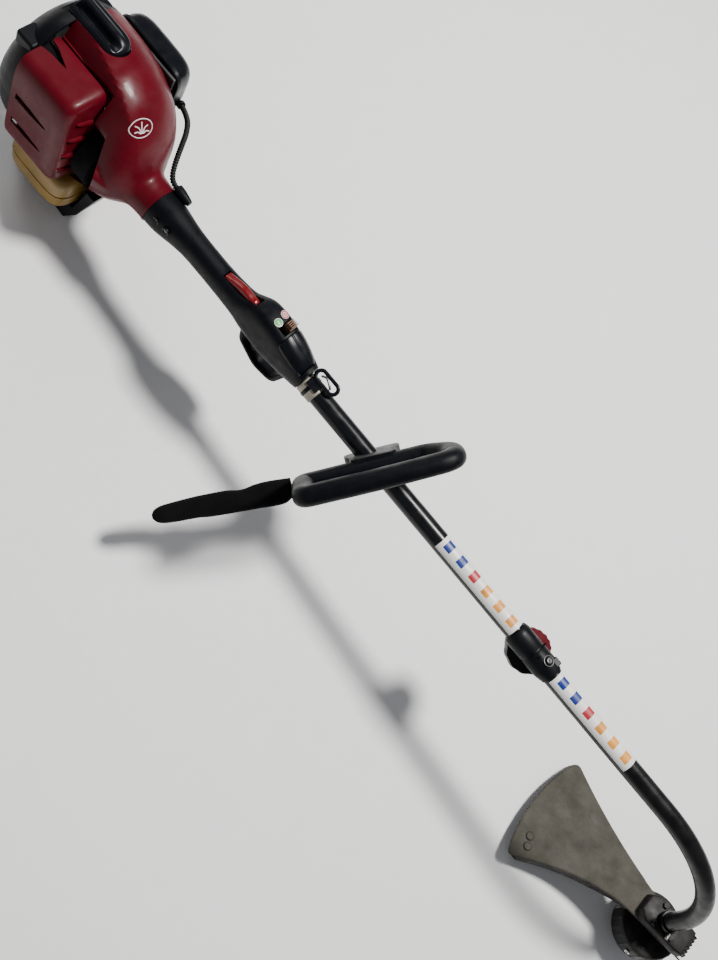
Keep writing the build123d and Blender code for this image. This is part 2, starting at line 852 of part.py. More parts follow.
def grip_half(side):
    """The left (+1) or right (-1) half of the grip and throttle housing."""
    with BuildPart() as half:
        add(grip_outside.part)
        add(housing_outside.part)
        # boss for the throttle cable at the upper left of the collar
        with BuildSketch(across(neck_front + 0.3)):
            with Locations(cable_inlet):
                Circle(7)
        extrude(amount=24, taper=6)
        with BuildSketch(across(38)):
            with Locations((0, 6)):
                RectangleRounded(37, 43, 14)
        extrude(amount=12)
        # finger guard: a loop below the housing
        with BuildSketch(Plane.XZ.offset(-9)):
            with BuildLine():
                FilletPolyline(
                    (52, -8), (60, -46), (96, -64), (128, -58), (140, -8), radius=11
                )
                Line((140, -8), (52, -8))
            make_face()
        extrude(amount=18)
        with BuildSketch(Plane.XZ.offset(-20)):
            with BuildLine():
                FilletPolyline((60, -16), (66, -42), (96, -57), (122, -51), (132, -16), radius=4, close=True)
            make_face()
        extrude(amount=40, mode=Mode.SUBTRACT)
        # the boom passes through
        with BuildSketch(across(-140)):
            Circle(boom_radius)
        extrude(amount=320, mode=Mode.SUBTRACT)
        # room for the switch, the levers and the cable in the housing
        with BuildSketch(Plane.XZ.offset(-6)):
            with Locations(((lever_pocket_rear + lever_pocket_front) / 2, 24)):
                Rectangle(lever_pocket_front - lever_pocket_rear, 22)
        extrude(amount=12, mode=Mode.SUBTRACT)
        with BuildSketch(Plane.XZ.offset(-5.2)):
            with Locations((74, -21)):
                Rectangle(27, 18)
        extrude(amount=10.4, mode=Mode.SUBTRACT)
        with BuildSketch(Plane.XZ.offset(-8)):
            with Locations(trigger_pivot, lockout_pivot):
                Circle(pivot_radius)
        extrude(amount=16, mode=Mode.SUBTRACT)
        with BuildSketch(Plane.XY.offset(22)):
            with Locations((98, 1)):
                Rectangle(13, 26)
        extrude(amount=30, mode=Mode.SUBTRACT)
        # seat of the front lid
        with BuildSketch(Plane.XZ.offset(-40)):
            with BuildLine():
                Polyline((106.5, 60), (106.5, 36), (149, 21), (149, 60), close=True)
            make_face()
        extrude(amount=80, mode=Mode.SUBTRACT)
        # screw wells on the right of the collar
        with BuildSketch(Plane.XZ.offset(14)):
            with Locations(grip_screw_places):
                Circle(4)
        extrude(amount=16, mode=Mode.SUBTRACT)
        # cable inlet at the upper left of the collar
        with BuildSketch(across(-140)):
            with Locations(cable_inlet):
                Circle(conduit_radius + 0.2)
        extrude(amount=36, mode=Mode.SUBTRACT)
        split(bisect_by=Plane.XZ, keep=Keep.BOTTOM if side > 0 else Keep.TOP)
        # the right half carries the levers' pins and the collar's screws
        if side < 0:
            with BuildSketch(Plane.XZ.offset(-7.9)):
                with Locations(trigger_pivot, lockout_pivot):
                    Circle(pivot_radius)
            extrude(amount=15.9)
            with BuildSketch(Plane.XZ.offset(14)):
                with Locations(grip_screw_places):
                    Circle(3.8)
            extrude(amount=4.9)
            with BuildSketch(Plane.XZ.offset(17.4)):
                with Locations(grip_screw_places):
                    Rectangle(5, 1.2)
            extrude(amount=3, mode=Mode.SUBTRACT)
    return half


pieces["grip_left"] = grip_half(1)
pieces["grip_right"] = grip_half(-1)

with BuildPart() as housing_lid:
    with BuildSketch(Plane.XZ.offset(-22)):
        with BuildLine():
            Polyline((106.8, 47), (106.8, 36.3), (148.7, 21.5), (148.7, 28), (122, 44), close=True)
        make_face()
    extrude(amount=44)
    fit_sections = grip_loft([(100, 15, 20, 33), (150, 9, 16.5, 21)], 0)
    add(fit_sections.part, mode=Mode.INTERSECT)
pieces["housing_lid"] = housing_lid

with BuildPart() as trigger:
    with BuildSketch(Plane.XZ.offset(-4.6)):
        with BuildLine():
            FilletPolyline(
                (68, -14.5), (76.5, -14.5), (80, -20), (83, -28), (88, -38), (85, -43), (79, -41),
                (75, -34), (71, -25), (67.5, -20), radius=1.5, close=True,
            )
        make_face()
    extrude(amount=9.2)
    with BuildSketch(Plane.XZ.offset(-6)):
        with Locations(trigger_pivot):
            Circle(pivot_radius + slide_gap)
    extrude(amount=12, mode=Mode.SUBTRACT)
pieces["trigger"] = trigger

with BuildPart() as lockout_lever:
    with BuildSketch(Plane.XZ.offset(-5.6)):
        with BuildLine():
            Line((4, 16), (4, 21.5))
            ThreePointArc((4, 21.5), (30, 34), (50, 31))
            Polyline((50, 31), (54, 26), (54, 20), (30, 19.5), (12, 15.5), (4, 16))
        make_face()
    extrude(amount=11.2)
    with BuildSketch(Plane.XZ.offset(-8)):
        with Locations(lockout_pivot):
            Circle(pivot_radius + slide_gap)
    extrude(amount=16, mode=Mode.SUBTRACT)
pieces["lockout_lever"] = lockout_lever

with BuildPart() as stop_switch:
    add(block((92.5, 1, 36), (103.5, 13, 52), 1.5).part)
    add(block((92.5, 0.5, 26), (103.5, 13.5, 37), 1).part)
pieces["stop_switch"] = stop_switch

# ---------------------------------------------------------------- throttle cable
conduit_route = [
    (-194.6, 103.2, 15.6), (-177, 95, 23), (-161, 78, 28), (-149, 58, 30),
    (-138, 40, 28), (-128, 27, 23), (-118, cable_inlet[0], cable_inlet[1]),
    (-104.3, cable_inlet[0], cable_inlet[1]),
]


def bend_radii(route):
    """The largest arc that the two runs beside each corner leave room for."""
    radii = []
    for i in range(1, len(route) - 1):
        before = Vector(route[i]) - Vector(route[i - 1])
        after = Vector(route[i + 1]) - Vector(route[i])
        turn = radians(before.get_angle(after))
        radii.append(0.45 * min(before.length, after.length) / (sin(turn / 2) / cos(turn / 2)))
    return radii


conduit_radii = bend_radii(conduit_route)
print("conduit bend radii", [round(radius, 1) for radius in conduit_radii])
with BuildPart() as throttle_conduit:
    with BuildLine():
        conduit_path = FilletPolyline(conduit_route, radius=conduit_radii)
    with BuildSketch(Plane(origin=conduit_path @ 0, z_dir=conduit_path % 0)):
        Circle(conduit_radius)
    sweep()
pieces["throttle_conduit"] = throttle_conduit
print(
    "conduit volume", round(throttle_conduit.part.volume),
    "section times length", round(pi * conduit_radius**2 * conduit_path.length),
)

# ---------------------------------------------------------------- strap hanger
hanger_rear = 155
hanger_front = 178
hanger_up = Vector(0, -sin(radians(26)), cos(radians(26)))
hanger_side = Vector(0, cos(radians(26)), sin(radians(26)))
eye_plane = Plane(
    origin=Vector(hanger_x + 8, 0, 0) + hanger_side * 17 + hanger_up * 15.2, x_dir=(1, 0, 0), z_dir=hanger_up
)
with BuildPart() as strap_eye:
    with BuildSketch(eye_plane):
        SlotOverall(38, 19)
        SlotOverall(27, 8, mode=Mode.SUBTRACT)
    extrude(amount=3)
    fillet(strap_eye.edges(), 1)
    with BuildSketch(Plane(origin=Vector(hanger_x, 0, 0) + hanger_up * 13.2, x_dir=(1, 0, 0), z_dir=hanger_up)):
        with Locations((0, 4)):
            Rectangle(18, 12)
    extrude(amount=3.2)
    # band round the boom
    add(bar_along(hanger_rear, hanger_front, boom_radius + 1.2, boom_radius).part)
pieces["strap_eye"] = strap_eye

# ================================================================ D-handle
saddle_half = 35
clamp_bolt_plane = Plane(origin=handle_plane.origin, x_dir=left_axis, z_dir=up_axis)
with BuildPart() as d_handle:
    with BuildSketch(handle_plane.offset(-12.5)):
        with BuildLine():
            FilletPolyline(
                (-handle_half, 8), (-handle_half, handle_top - 4), (0, handle_top),
                (handle_half, handle_top - 6), (handle_half, 40), (66, 8),
                radius=[8, 200, 44, 30], close=False,
            )
            Line((66, 8), (-handle_half, 8))
        make_face()
        with BuildLine():
            FilletPolyline(
                (-handle_half + 24, 28), (-handle_half + 24, handle_top - 27), (0, handle_top - 23),
                (handle_half - 24, handle_top - 28), (handle_half - 24, 50), (58, 28),
                radius=[6, 200, 22, 14], close=False,
            )
            Line((58, 28), (-handle_half + 24, 28))
        make_face(mode=Mode.SUBTRACT)
    extrude(amount=25)
    fillet(d_handle.edges().filter_by(GeomType.LINE, reverse=True).group_by(SortBy.LENGTH)[-1], 2)
    # saddle over the boom
    with BuildSketch(handle_plane.offset(-15)):
        with Locations((0, 13.5)):
            RectangleRounded(2 * saddle_half, 27, 5)
    extrude(amount=30)
    with BuildSketch(across(handle_x - 60)):
        Circle(handle_bore)
    extrude(amount=120, mode=Mode.SUBTRACT)
    with BuildSketch(clamp_bolt_plane):
        with Locations((-25, 0), (25, 0)):
            Circle(3)
    extrude(amount=60, mode=Mode.SUBTRACT)
pieces["d_handle"] = d_handle

with BuildPart() as handle_clamp:
    with BuildSketch(handle_plane.offset(-14)):
        with Locations((0, -12.5)):
            RectangleRounded(2 * saddle_half - 2, 24, 9)
    extrude(amount=28)
    with BuildSketch(across(handle_x - 60)):
        Circle(handle_bore)
    extrude(amount=120, mode=Mode.SUBTRACT)
    with BuildSketch(clamp_bolt_plane.offset(-60)):
        with Locations((-25, 0), (25, 0)):
            Circle(3)
    extrude(amount=80, mode=Mode.SUBTRACT)
pieces["handle_clamp"] = handle_clamp

with BuildPart() as handle_bolts:
    with BuildSketch(clamp_bolt_plane.offset(-29)):
        with Locations((-25, 0), (25, 0)):
            Circle(2.9)
    extrude(amount=57)
    with BuildSketch(clamp_bolt_plane.offset(-29)):
        with Locations((-25, 0), (25, 0)):
            RegularPolygon(5, 6)
    extrude(amount=4)
pieces["handle_bolts"] = handle_bolts

with BuildPart() as barrier_bar:
    with BuildSketch(clamp_bolt_plane.offset(9)):
        with BuildLine():
            FilletPolyline(
                (-102.4, -12), (-143, -13), (-157, -9), (-178, -15), (-219, -17), (-262, -15),
                (-269, -6), (-262, 4), (-244, 7.5), (-217, 8), (-206, 10.5), (-178, 13),
                (-143, 15), (-118, 17.5), (-102.4, 11), radius=4, close=True,
            )
        make_face()
    extrude(amount=19)
    fillet(barrier_bar.edges().group_by(SortBy.LENGTH)[-1], 3)
pieces["barrier_bar"] = barrier_bar

# ================================================================ coupler
with BuildPart() as coupler:
    with BuildSketch(Plane.XZ):
        with BuildLine():
            Polyline(
                (coupler_rear, boom_radius), (coupler_rear, 15), (coupler_rear + 4, coupler_radius),
                (600, coupler_radius), (coupler_front, 14.2), (coupler_front, boom_radius + slide_gap),
                (boom_split, boom_radius + slide_gap), (boom_split, boom_radius), close=True,
            )
        make_face()
    revolve(axis=Axis.X)
    # threaded boss for the knob
    with BuildSketch(knob_plane(13)):
        Circle(13)
    extrude(amount=14)
    # half-round flange that shields the knob on the operator's right
    with BuildSketch(knob_plane(18.5)):
        Circle(flange_radius)
        with Locations((0, -flange_radius / 2)):
            Rectangle(2 * flange_radius, flange_radius, mode=Mode.SUBTRACT)
    extrude(amount=7.5)
    with BuildSketch(knob_plane(13)):
        Circle(4)
    extrude(amount=30, mode=Mode.SUBTRACT)
    with BuildSketch(across(boom_split)):
        Circle(boom_radius + slide_gap)
    extrude(amount=80, mode=Mode.SUBTRACT)
    # hole for the release button and a locating hole
    with BuildSketch(Plane.XY.offset(8)):
        with Locations((button_x, 0)):
            Circle(5 + slide_gap)
        with Locations((584, -6)):
            Circle(2)
    extrude(amount=20, mode=Mode.SUBTRACT)
    # stud that the knob screws along
    with BuildSketch(knob_plane(13.4)):
        Circle(4)
    extrude(amount=26)
pieces["coupler"] = coupler

with BuildPart() as coupler_knob:
    with BuildSketch(knob_plane(27.4)):
        Circle(knob_radius)
        with PolarLocations(knob_radius + 3, 5):
            Circle(8, mode=Mode.SUBTRACT)
    extrude(amount=15)
    fillet(coupler_knob.edges().group_by(SortBy.LENGTH)[-1], 1)
    with BuildSketch(knob_plane(27)):
        Circle(4 + slide_gap)
    extrude(amount=12.6, mode=Mode.SUBTRACT)
pieces["coupler_knob"] = coupler_knob

with BuildPart() as release_button:
    with BuildSketch(Plane.XY.offset(11.6)):
        with Locations((button_x, 0)):
            Circle(5)
    extrude(amount=8)
    fillet(release_button.edges().group_by(Axis.Z)[-1], 1.5)
pieces["release_button"] = release_button

# ================================================================ lower boom
with BuildPart() as lower_boom:
    with BuildLine():
        Line((boom_split + 2, 0, 0), (bend_start, 0, 0))
        ThreePointArc((bend_start, 0, 0), bend_middle, head_point(0))
        Line(head_point(0), head_point(tail_length))
    with BuildSketch(across(boom_split + 2)):
        Circle(boom_radius)
        Circle(boom_radius - boom_wall, mode=Mode.SUBTRACT)
    sweep()
    # keyway that the release button runs in
    with BuildSketch(Plane.XY.offset(8)):
        with Locations(((boom_split + button_x) / 2, 0)):
            SlotOverall(button_x - boom_split + 14, 10.8)
    extrude(amount=10, mode=Mode.SUBTRACT)
pieces["lower_boom"] = lower_boom

flex_radius = 3
with BuildPart() as flexible_shaft:
    with BuildLine():
        Line((586, 0, 0), (bend_start, 0, 0))
        ThreePointArc((bend_start, 0, 0), bend_middle, head_point(0))
        Line(head_point(0), head_point(26))
    with BuildSketch(across(586)):
        Circle(flex_radius)
    sweep()
pieces["flexible_shaft"] = flexible_shaft

# ================================================================ cutting head
arbor_radius = 5


def head_ring(top, bottom, radius, bore=0.0):
    """A round bar or ring about the head's axis, between two depths."""
    with BuildPart() as ring:
        with BuildSketch(head_plane(top)):
            Circle(radius)
            if bore > 0:
                Circle(bore, mode=Mode.SUBTRACT)
        extrude(amount=bottom - top)
    return ring


with BuildPart() as head_bearing:
    add(head_ring(32, tail_length, boom_radius - boom_wall, arbor_radius + slide_gap).part)
    add(head_ring(tail_length, 71, 17, arbor_radius + slide_gap).part)
pieces["head_bearing"] = head_bearing

with BuildPart() as arbor:
    add(head_ring(28, 112, arbor_radius).part)
    add(head_ring(72, 76, 13, arbor_radius).part)
pieces["arbor"] = arbor

line_plane = Plane(origin=head_point(96), x_dir=(0, 1, 0), z_dir=(head_z, 0, -head_x))
line_radius = 1.2
with BuildPart() as spool_housing:
    add(head_ring(spool_top, spool_bottom - 4, spool_radius, spool_radius - 3).part)
    add(head_ring(spool_top, spool_top + 3, spool_radius, arbor_radius).part)
    add(head_ring(spool_bottom - 4, spool_bottom, spool_radius - 2, 27).part)
    # grip ribs round the wall
    with BuildSketch(head_plane(spool_top + 3)):
        with PolarLocations(spool_radius + 0.4, 24):
            RectangleRounded(2, 5, 0.8)
    extrude(amount=spool_bottom - spool_top - 7)
    # two eyelet holes for the line
    for side in (1, -1):
        with BuildSketch(line_plane.offset(side * (spool_radius - 4))):
            Circle(3.5)
        extrude(amount=side * 7)
    with BuildSketch(line_plane):
        Circle(line_radius)
    extrude(amount=80, both=True, mode=Mode.SUBTRACT)
pieces["spool_housing"] = spool_housing

with BuildPart() as line_ends:
    for side in (1, -1):
        with BuildSketch(line_plane.offset(side * (spool_radius - 4))):
            Circle(line_radius)
        extrude(amount=side * 24)
pieces["line_ends"] = line_ends

with BuildPart() as line_spool:
    add(head_ring(85, 86.5, 40, arbor_radius + slide_gap).part)
    add(head_ring(86.5, 106, 15, 11).part)
    add(head_ring(95, 106, 11, arbor_radius + slide_gap).part)
    add(head_ring(106, 107.5, 40, arbor_radius + slide_gap).part)
    add(head_ring(85, 86.5, 11, arbor_radius + slide_gap).part, mode=Mode.SUBTRACT)
pieces["line_spool"] = line_spool
pieces["wound_line"] = head_ring(86.5, 106, 33, 15)

with BuildPart() as head_spring:
    for turn in range(5):
        add(head_ring(80.3 + turn * 2, 81.5 + turn * 2, 9, 7.2).part)
    with BuildSketch(head_plane(80.2)):
        with Locations((8.1, 0)):
            Rectangle(1.6, 3)
    extrude(amount=9.4)
pieces["head_spring"] = head_spring

knob_rim = 22
with BuildPart() as bump_knob:
    add(head_ring(107.5, 136, knob_rim).part)
    with Locations(head_plane(dome_centre)):
        Sphere(dome_radius, mode=Mode.INTERSECT)
    with BuildSketch(head_plane(107)):
        Circle(arbor_radius + slide_gap)
    extrude(amount=11, mode=Mode.SUBTRACT)
pieces["bump_knob"] = bump_knob

# ---------------------------------------------------------------- shield
rim_left = (shield_radius * cos(radians(shield_left)), shield_radius * sin(radians(shield_left)))
rim_right = (shield_radius * cos(radians(shield_right)), -shield_radius * sin(radians(shield_right)))
hub_half = 21
clamp_bolt_places = [(-14, 14), (-14, -14), (15, 15), (15, -15)]
cutter_screw_places = [(211, -51), (205, -64)]
cutter_depth = skirt_depth - 4


def shield_outline(inset):
    """The fan seen from above, drawn in by an inset."""
    with BuildSketch() as outline:
        with BuildLine():
            Line((-hub_half, hub_half), (10, hub_half))
            ThreePointArc((10, hub_half), (118, 44), rim_left)
            ThreePointArc(rim_left, (shield_radius, 0), rim_right)
            ThreePointArc(rim_right, (118, -38), (30, -hub_half))
            Polyline((30, -hub_half), (-hub_half, -hub_half), (-hub_half, hub_half))
        make_face()
        if inset > 0:
            offset(amount=-inset, mode=Mode.REPLACE)
    return outline


with BuildPart() as shield:
    with BuildSketch(head_plane(shield_level)):
        add(shield_outline(0).sketch)
    extrude(amount=3)
    with BuildSketch(head_plane(shield_level)):
        add(shield_outline(0).sketch)
        add(shield_outline(3).sketch, mode=Mode.SUBTRACT)
        with Locations((-10, 0)):
            Rectangle(110, 120, mode=Mode.SUBTRACT)
    extrude(amount=skirt_depth)
    # stiffening ribs underneath
    for rib_angle in (-9, 7):
        with BuildSketch(head_plane(shield_level)):
            with Locations(Location((0, 0), rib_angle)):
                with Locations((140, 0)):
                    Rectangle(160, 2)
        extrude(amount=10)
    with BuildSketch(head_plane(shield_level - 2)):
        Circle(boom_radius)
        with Locations(clamp_bolt_places):
            Circle(2.5)
        with Locations(cutter_screw_places):
            Circle(2.5)
    extrude(amount=10, mode=Mode.SUBTRACT)
pieces["shield"] = shield

with BuildPart() as shield_clamp:
    with BuildSketch(head_plane(shield_level - 16)):
        with Locations((-2, 0)):
            RectangleRounded(78, 2 * hub_half - 2, 8)
        Circle(boom_radius, mode=Mode.SUBTRACT)
        with Locations(clamp_bolt_places):
            Circle(2.5, mode=Mode.SUBTRACT)
    extrude(amount=15.8)
    for rib_y in (-8, 0, 8):
        with BuildSketch(head_plane(shield_level - 15)):
            with Locations((-43, rib_y)):
                Rectangle(6, 3)
        extrude(amount=14)
pieces["shield_clamp"] = shield_clamp

with BuildPart() as line_cutter:
    with BuildSketch(head_plane(shield_level + 3.1)):
        with Locations(Location((208, -57.5), -16)):
            RectangleRounded(22, 32, 2)
        with Locations(cutter_screw_places):
            Circle(2.5, mode=Mode.SUBTRACT)
    extrude(amount=1.5)
    with BuildSketch(head_plane(shield_level + 3.1)):
        with Locations(Location((217.2, -60.2), -16)):
            Rectangle(1.5, 32)
    extrude(amount=cutter_depth)
pieces["line_cutter"] = line_cutter

with BuildPart() as shield_screws:
    with BuildSketch(head_plane(shield_level - 20)):
        with Locations(clamp_bolt_places):
            RegularPolygon(4.5, 6)
    extrude(amount=4)
    with BuildSketch(head_plane(shield_level - 16)):
        with Locations(clamp_bolt_places):
            Circle(2.4)
    extrude(amount=22)
    # the two that hold the cutter
    with BuildSketch(head_plane(shield_level - 2)):
        with Locations(cutter_screw_places):
            Circle(5.4)
    extrude(amount=2)
    with BuildSketch(head_plane(shield_level)):
        with Locations(cutter_screw_places):
            Circle(2.4)
    extrude(amount=7)
pieces["shield_screws"] = shield_screws

# ================================================================ write every piece
os.makedirs("parts", exist_ok=True)
for name, piece in pieces.items():
    piece.part.label = name
    piece.part.move(resting_place)
    export_step(piece.part, f"parts/{name}.step")
print(len(pieces), "pieces")
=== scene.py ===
"""Looks of the string trimmer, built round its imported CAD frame.

Shapes are drawn in the boom's own frame, in millimetres: +X along the boom to the head, +Y the
operator's left, +Z up. BOOM carries them into the row frame, in metres.
"""
import json
from math import cos, pi, radians, sin, sqrt

import bmesh
import bpy
from mathutils import Matrix, Vector
from mathutils.bvhtree import BVHTree


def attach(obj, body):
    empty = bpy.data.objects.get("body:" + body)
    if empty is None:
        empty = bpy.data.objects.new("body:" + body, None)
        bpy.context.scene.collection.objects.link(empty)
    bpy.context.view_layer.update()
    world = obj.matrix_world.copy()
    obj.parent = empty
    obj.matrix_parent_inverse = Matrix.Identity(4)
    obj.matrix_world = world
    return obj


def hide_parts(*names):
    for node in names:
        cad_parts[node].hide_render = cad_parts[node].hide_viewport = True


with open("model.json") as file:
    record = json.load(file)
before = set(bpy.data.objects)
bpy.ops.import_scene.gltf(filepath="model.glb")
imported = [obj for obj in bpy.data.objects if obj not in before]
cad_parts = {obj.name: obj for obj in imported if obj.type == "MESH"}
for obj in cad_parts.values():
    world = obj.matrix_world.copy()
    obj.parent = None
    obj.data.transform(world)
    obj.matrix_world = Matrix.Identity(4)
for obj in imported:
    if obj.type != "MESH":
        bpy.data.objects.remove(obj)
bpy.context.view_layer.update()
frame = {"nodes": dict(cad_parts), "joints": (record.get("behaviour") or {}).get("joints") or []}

# ---------------------------------------------------------------- frames
joints = {joint["name"]: joint for joint in frame["joints"]}
boom_axis = Vector(joints["drive_spin"]["axis"]).normalized()
left_side = Vector((0, 1, 0))
boom_up = boom_axis.cross(left_side)
drive_spin_x = 0.1          # the drive joint is stated this far along the boom
boom_origin = Vector(joints["drive_spin"]["pos_m"]) - boom_axis * drive_spin_x
BOOM = Matrix((
    (*(0.001 * Vector((boom_axis.x, left_side.x, boom_up.x))), boom_origin.x),
    (*(0.001 * Vector((boom_axis.y, left_side.y, boom_up.y))), boom_origin.y),
    (*(0.001 * Vector((boom_axis.z, left_side.z, boom_up.z))), boom_origin.z),
    (0, 0, 0, 1),
))
X = Vector((1, 0, 0))
Y = Vector((0, 1, 0))
Z = Vector((0, 0, 1))

boom_radius = 12.7
bend_start = 827
bend_radius = 194
bend_angle = radians(80)
head_down = Vector((cos(bend_angle), 0, -sin(bend_angle)))
head_back = Vector((-sin(bend_angle), 0, -cos(bend_angle)))     # towards the operator
bend_end = Vector((bend_start + bend_radius * sin(bend_angle), 0, -bend_radius * (1 - cos(bend_angle))))
handle_place = Vector((283, 0, 0))
handle_roll = radians(29)
handle_skew = radians(26)
handle_lean = radians(9.5)
handle_left = Vector((
    sin(handle_skew), cos(handle_skew) * cos(handle_roll), cos(handle_skew) * sin(handle_roll)
))
handle_ahead = Vector((
    cos(handle_skew), -sin(handle_skew) * cos(handle_roll), -sin(handle_skew) * sin(handle_roll)
))
square_up = Vector((0, -sin(handle_roll), cos(handle_roll)))
handle_up = square_up * cos(handle_lean) + handle_ahead * sin(handle_lean)
handle_normal = handle_left.cross(handle_up)


def head_point(below, back=0.0, side=0.0):
    """A point below the bend on the head's axis, moved back towards the operator and to the left."""
    return bend_end + head_down * below + head_back * back + Y * side


def handle_point(across, up):
    """A point in the handle's own plane."""
    return handle_place + handle_left * across + handle_up * up


# ---------------------------------------------------------------- materials
def surface(name, colour, rough=0.45, metallic=0.0, coat=0.0, mottle=0.1, mottle_scale=25.0,
            grain=0.06, grain_scale=1400.0, dust=0.0, dust_colour=(0.42, 0.37, 0.3), streak=0.0,
            glow_through=0.0, gloss=0.5):
    """A moulded, painted or metal finish: mottled colour, uneven gloss, fine grain and dust."""
    material = bpy.data.materials.new(name)
    material.use_nodes = True
    nodes = material.node_tree.nodes
    links = material.node_tree.links
    shader = nodes["Principled BSDF"]
    shader.inputs["Metallic"].default_value = metallic
    shader.inputs["Coat Weight"].default_value = coat
    shader.inputs["Coat Roughness"].default_value = 0.12
    place = nodes.new("ShaderNodeTexCoord")

    def noise(scale, detail=4.0, stretch=None):
        texture = nodes.new("ShaderNodeTexNoise")
        texture.inputs["Scale"].default_value = scale
        texture.inputs["Detail"].default_value = detail
        source = place.outputs["Object"]
        if stretch:
            mapping = nodes.new("ShaderNodeMapping")
            mapping.inputs["Scale"].default_value = stretch
            links.new(source, mapping.inputs["Vector"])
            source = mapping.outputs["Vector"]
        links.new(source, texture.inputs["Vector"])
        return texture.outputs["Fac"]

    def remap(value, low, high, to_low, to_high):
        node = nodes.new("ShaderNodeMapRange")
        node.inputs["From Min"].default_value = low
        node.inputs["From Max"].default_value = high
        node.inputs["To Min"].default_value = to_low
        node.inputs["To Max"].default_value = to_high
        links.new(value, node.inputs["Value"])
        return node.outputs["Result"]

    def mix(factor, first, second):
        node = nodes.new("ShaderNodeMix")
        node.data_type = "RGBA"
        links.new(factor, node.inputs["Factor"])
        for value, socket in ((first, node.inputs["A"]), (second, node.inputs["B"])):
            if isinstance(value, tuple):
                socket.default_value = (*value, 1)
            else:
                links.new(value, socket)
        return node.outputs["Result"]

    def times(first, second):
        node = nodes.new("ShaderNodeMath")
        node.operation = "MULTIPLY"
        links.new(first, node.inputs[0])
        links.new(second, node.inputs[1])
        return node.outputs["Value"]

    shader.inputs["Specular IOR Level"].default_value = gloss
    darker = tuple(c * (1 - 2 * mottle) for c in colour)
    lighter = tuple(min(1, c * (1 + 2 * mottle)) for c in colour)
    tone = mix(remap(noise(mottle_scale), 0.3, 0.7, 0, 1), darker, lighter)
    if streak:
        tone = mix(
            remap(noise(60, 6, (1, 9, 9)), 0.52, 0.75, 0, streak), tone, tuple(c * 0.35 for c in colour)
        )
    if dust:
        facing = nodes.new("ShaderNodeNewGeometry")
        split = nodes.new("ShaderNodeSeparateXYZ")
        links.new(facing.outputs["Normal"], split.inputs["Vector"])
        upward = remap(split.outputs["Z"], -0.2, 0.9, 0.25, 1)
        patches = remap(noise(48, 7), 0.42, 0.72, 0, dust)
        tone = mix(times(upward, patches), tone, dust_colour)
    links.new(tone, shader.inputs["Base Color"])
    roughness = remap(noise(70, 6), 0.3, 0.7, max(0.03, rough - 0.1), min(1, rough + 0.12))
    links.new(roughness, shader.inputs["Roughness"])
    bump = nodes.new("ShaderNodeBump")
    bump.inputs["Strength"].default_value = grain
    bump.inputs["Distance"].default_value = 0.0006
    links.new(noise(grain_scale, 3), bump.inputs["Height"])
    links.new(bump.outputs["Normal"], shader.inputs["Normal"])
    if glow_through:
        shader.inputs["Subsurface Weight"].default_value = glow_through
        shader.inputs["Subsurface Radius"].default_value = (0.02, 0.012, 0.005)
    return material


cowl_red = surface("cowl_red", (0.088, 0.0016, 0.0072), rough=0.36, coat=0.05, mottle=0.05, grain=0.03,
                   dust=0.006, gloss=0.13)
lever_red = surface("lever_red", (0.15, 0.003, 0.005), rough=0.28, coat=0.25, mottle=0.06, dust=0.01,
                    gloss=0.3)
knob_red = surface("knob_red", (0.11, 0.003, 0.009), rough=0.42, mottle=0.12, grain=0.15, dust=0.05,
                   gloss=0.25)
black_gloss = surface("black_gloss", (0.0018, 0.0026, 0.005), rough=0.3, mottle=0.1, grain=0.04, dust=0.006,
                      gloss=0.24)
black_moulded = surface("black_moulded", (0.0018, 0.0024, 0.0042), rough=0.42, mottle=0.12, grain=0.14,
                        dust=0.008, gloss=0.16)
black_soft = surface("black_soft", (0.0018, 0.0024, 0.0042), rough=0.44, mottle=0.1, grain=0.25,
                     grain_scale=2200, gloss=0.14)
# matte black: the barrier's real foam and the coupler's slit and pin, and also painted shade in the engine's
# gap, flute and slots
black_foam_and_shade = surface("black_foam_and_shade", (0.0028, 0.0028, 0.0035), rough=0.9, mottle=0.2, grain=0.9,
                     grain_scale=1100, gloss=0.12)
boom_paint = surface("boom_paint", (0.0018, 0.0022, 0.004), rough=0.28, coat=0.08, mottle=0.08, grain=0.05,
                     dust=0.008, gloss=0.28)
bend_paint = surface("bend_paint", (0.0022, 0.0022, 0.003), rough=0.36, coat=0.06, mottle=0.15, grain=0.22,
                     grain_scale=500, dust=0.012, gloss=0.26)
grey_moulded = surface("grey_moulded", (0.045, 0.046, 0.05), rough=0.45, mottle=0.1, grain=0.15, dust=0.12,
                       gloss=0.4)
shield_grey = surface("shield_grey", (0.062, 0.058, 0.047), rough=0.75, mottle=0.14, mottle_scale=34,
                      grain=0.35, grain_scale=900, dust=0.35, dust_colour=(0.086, 0.08, 0.065), streak=0.4,
                      gloss=0.2)
# painted shade: the shield's grey darkened nearly to black, for the skirt, the ribs and the pad rings, which
# lie in shadow
shield_shade = surface("shield_shade", (0.006, 0.0055, 0.0055), rough=0.6, mottle=0.2, grain=0.3, dust=0.05,
                      gloss=0.2)
head_black = surface("head_black", (0.004, 0.0038, 0.004), rough=0.5, mottle=0.2, grain=0.3, dust=0.04,
                     gloss=0.24)
tank_amber = surface("tank_amber", (0.28, 0.17, 0.036), rough=0.36, mottle=0.14, mottle_scale=18, grain=0.1,
                     glow_through=0.15)
steel = surface("steel", (0.5, 0.5, 0.5), rough=0.32, metallic=1.0, mottle=0.06, grain=0.08)
zinc = surface("zinc", (0.17, 0.165, 0.15), rough=0.38, metallic=1.0, mottle=0.14, grain=0.15, dust=0.15)
alloy = surface("alloy", (0.42, 0.42, 0.43), rough=0.48, metallic=1.0, mottle=0.08, grain=0.3,
                grain_scale=700)
hot_steel = surface("hot_steel", (0.12, 0.09, 0.075), rough=0.55, metallic=0.9, mottle=0.3, grain=0.3)
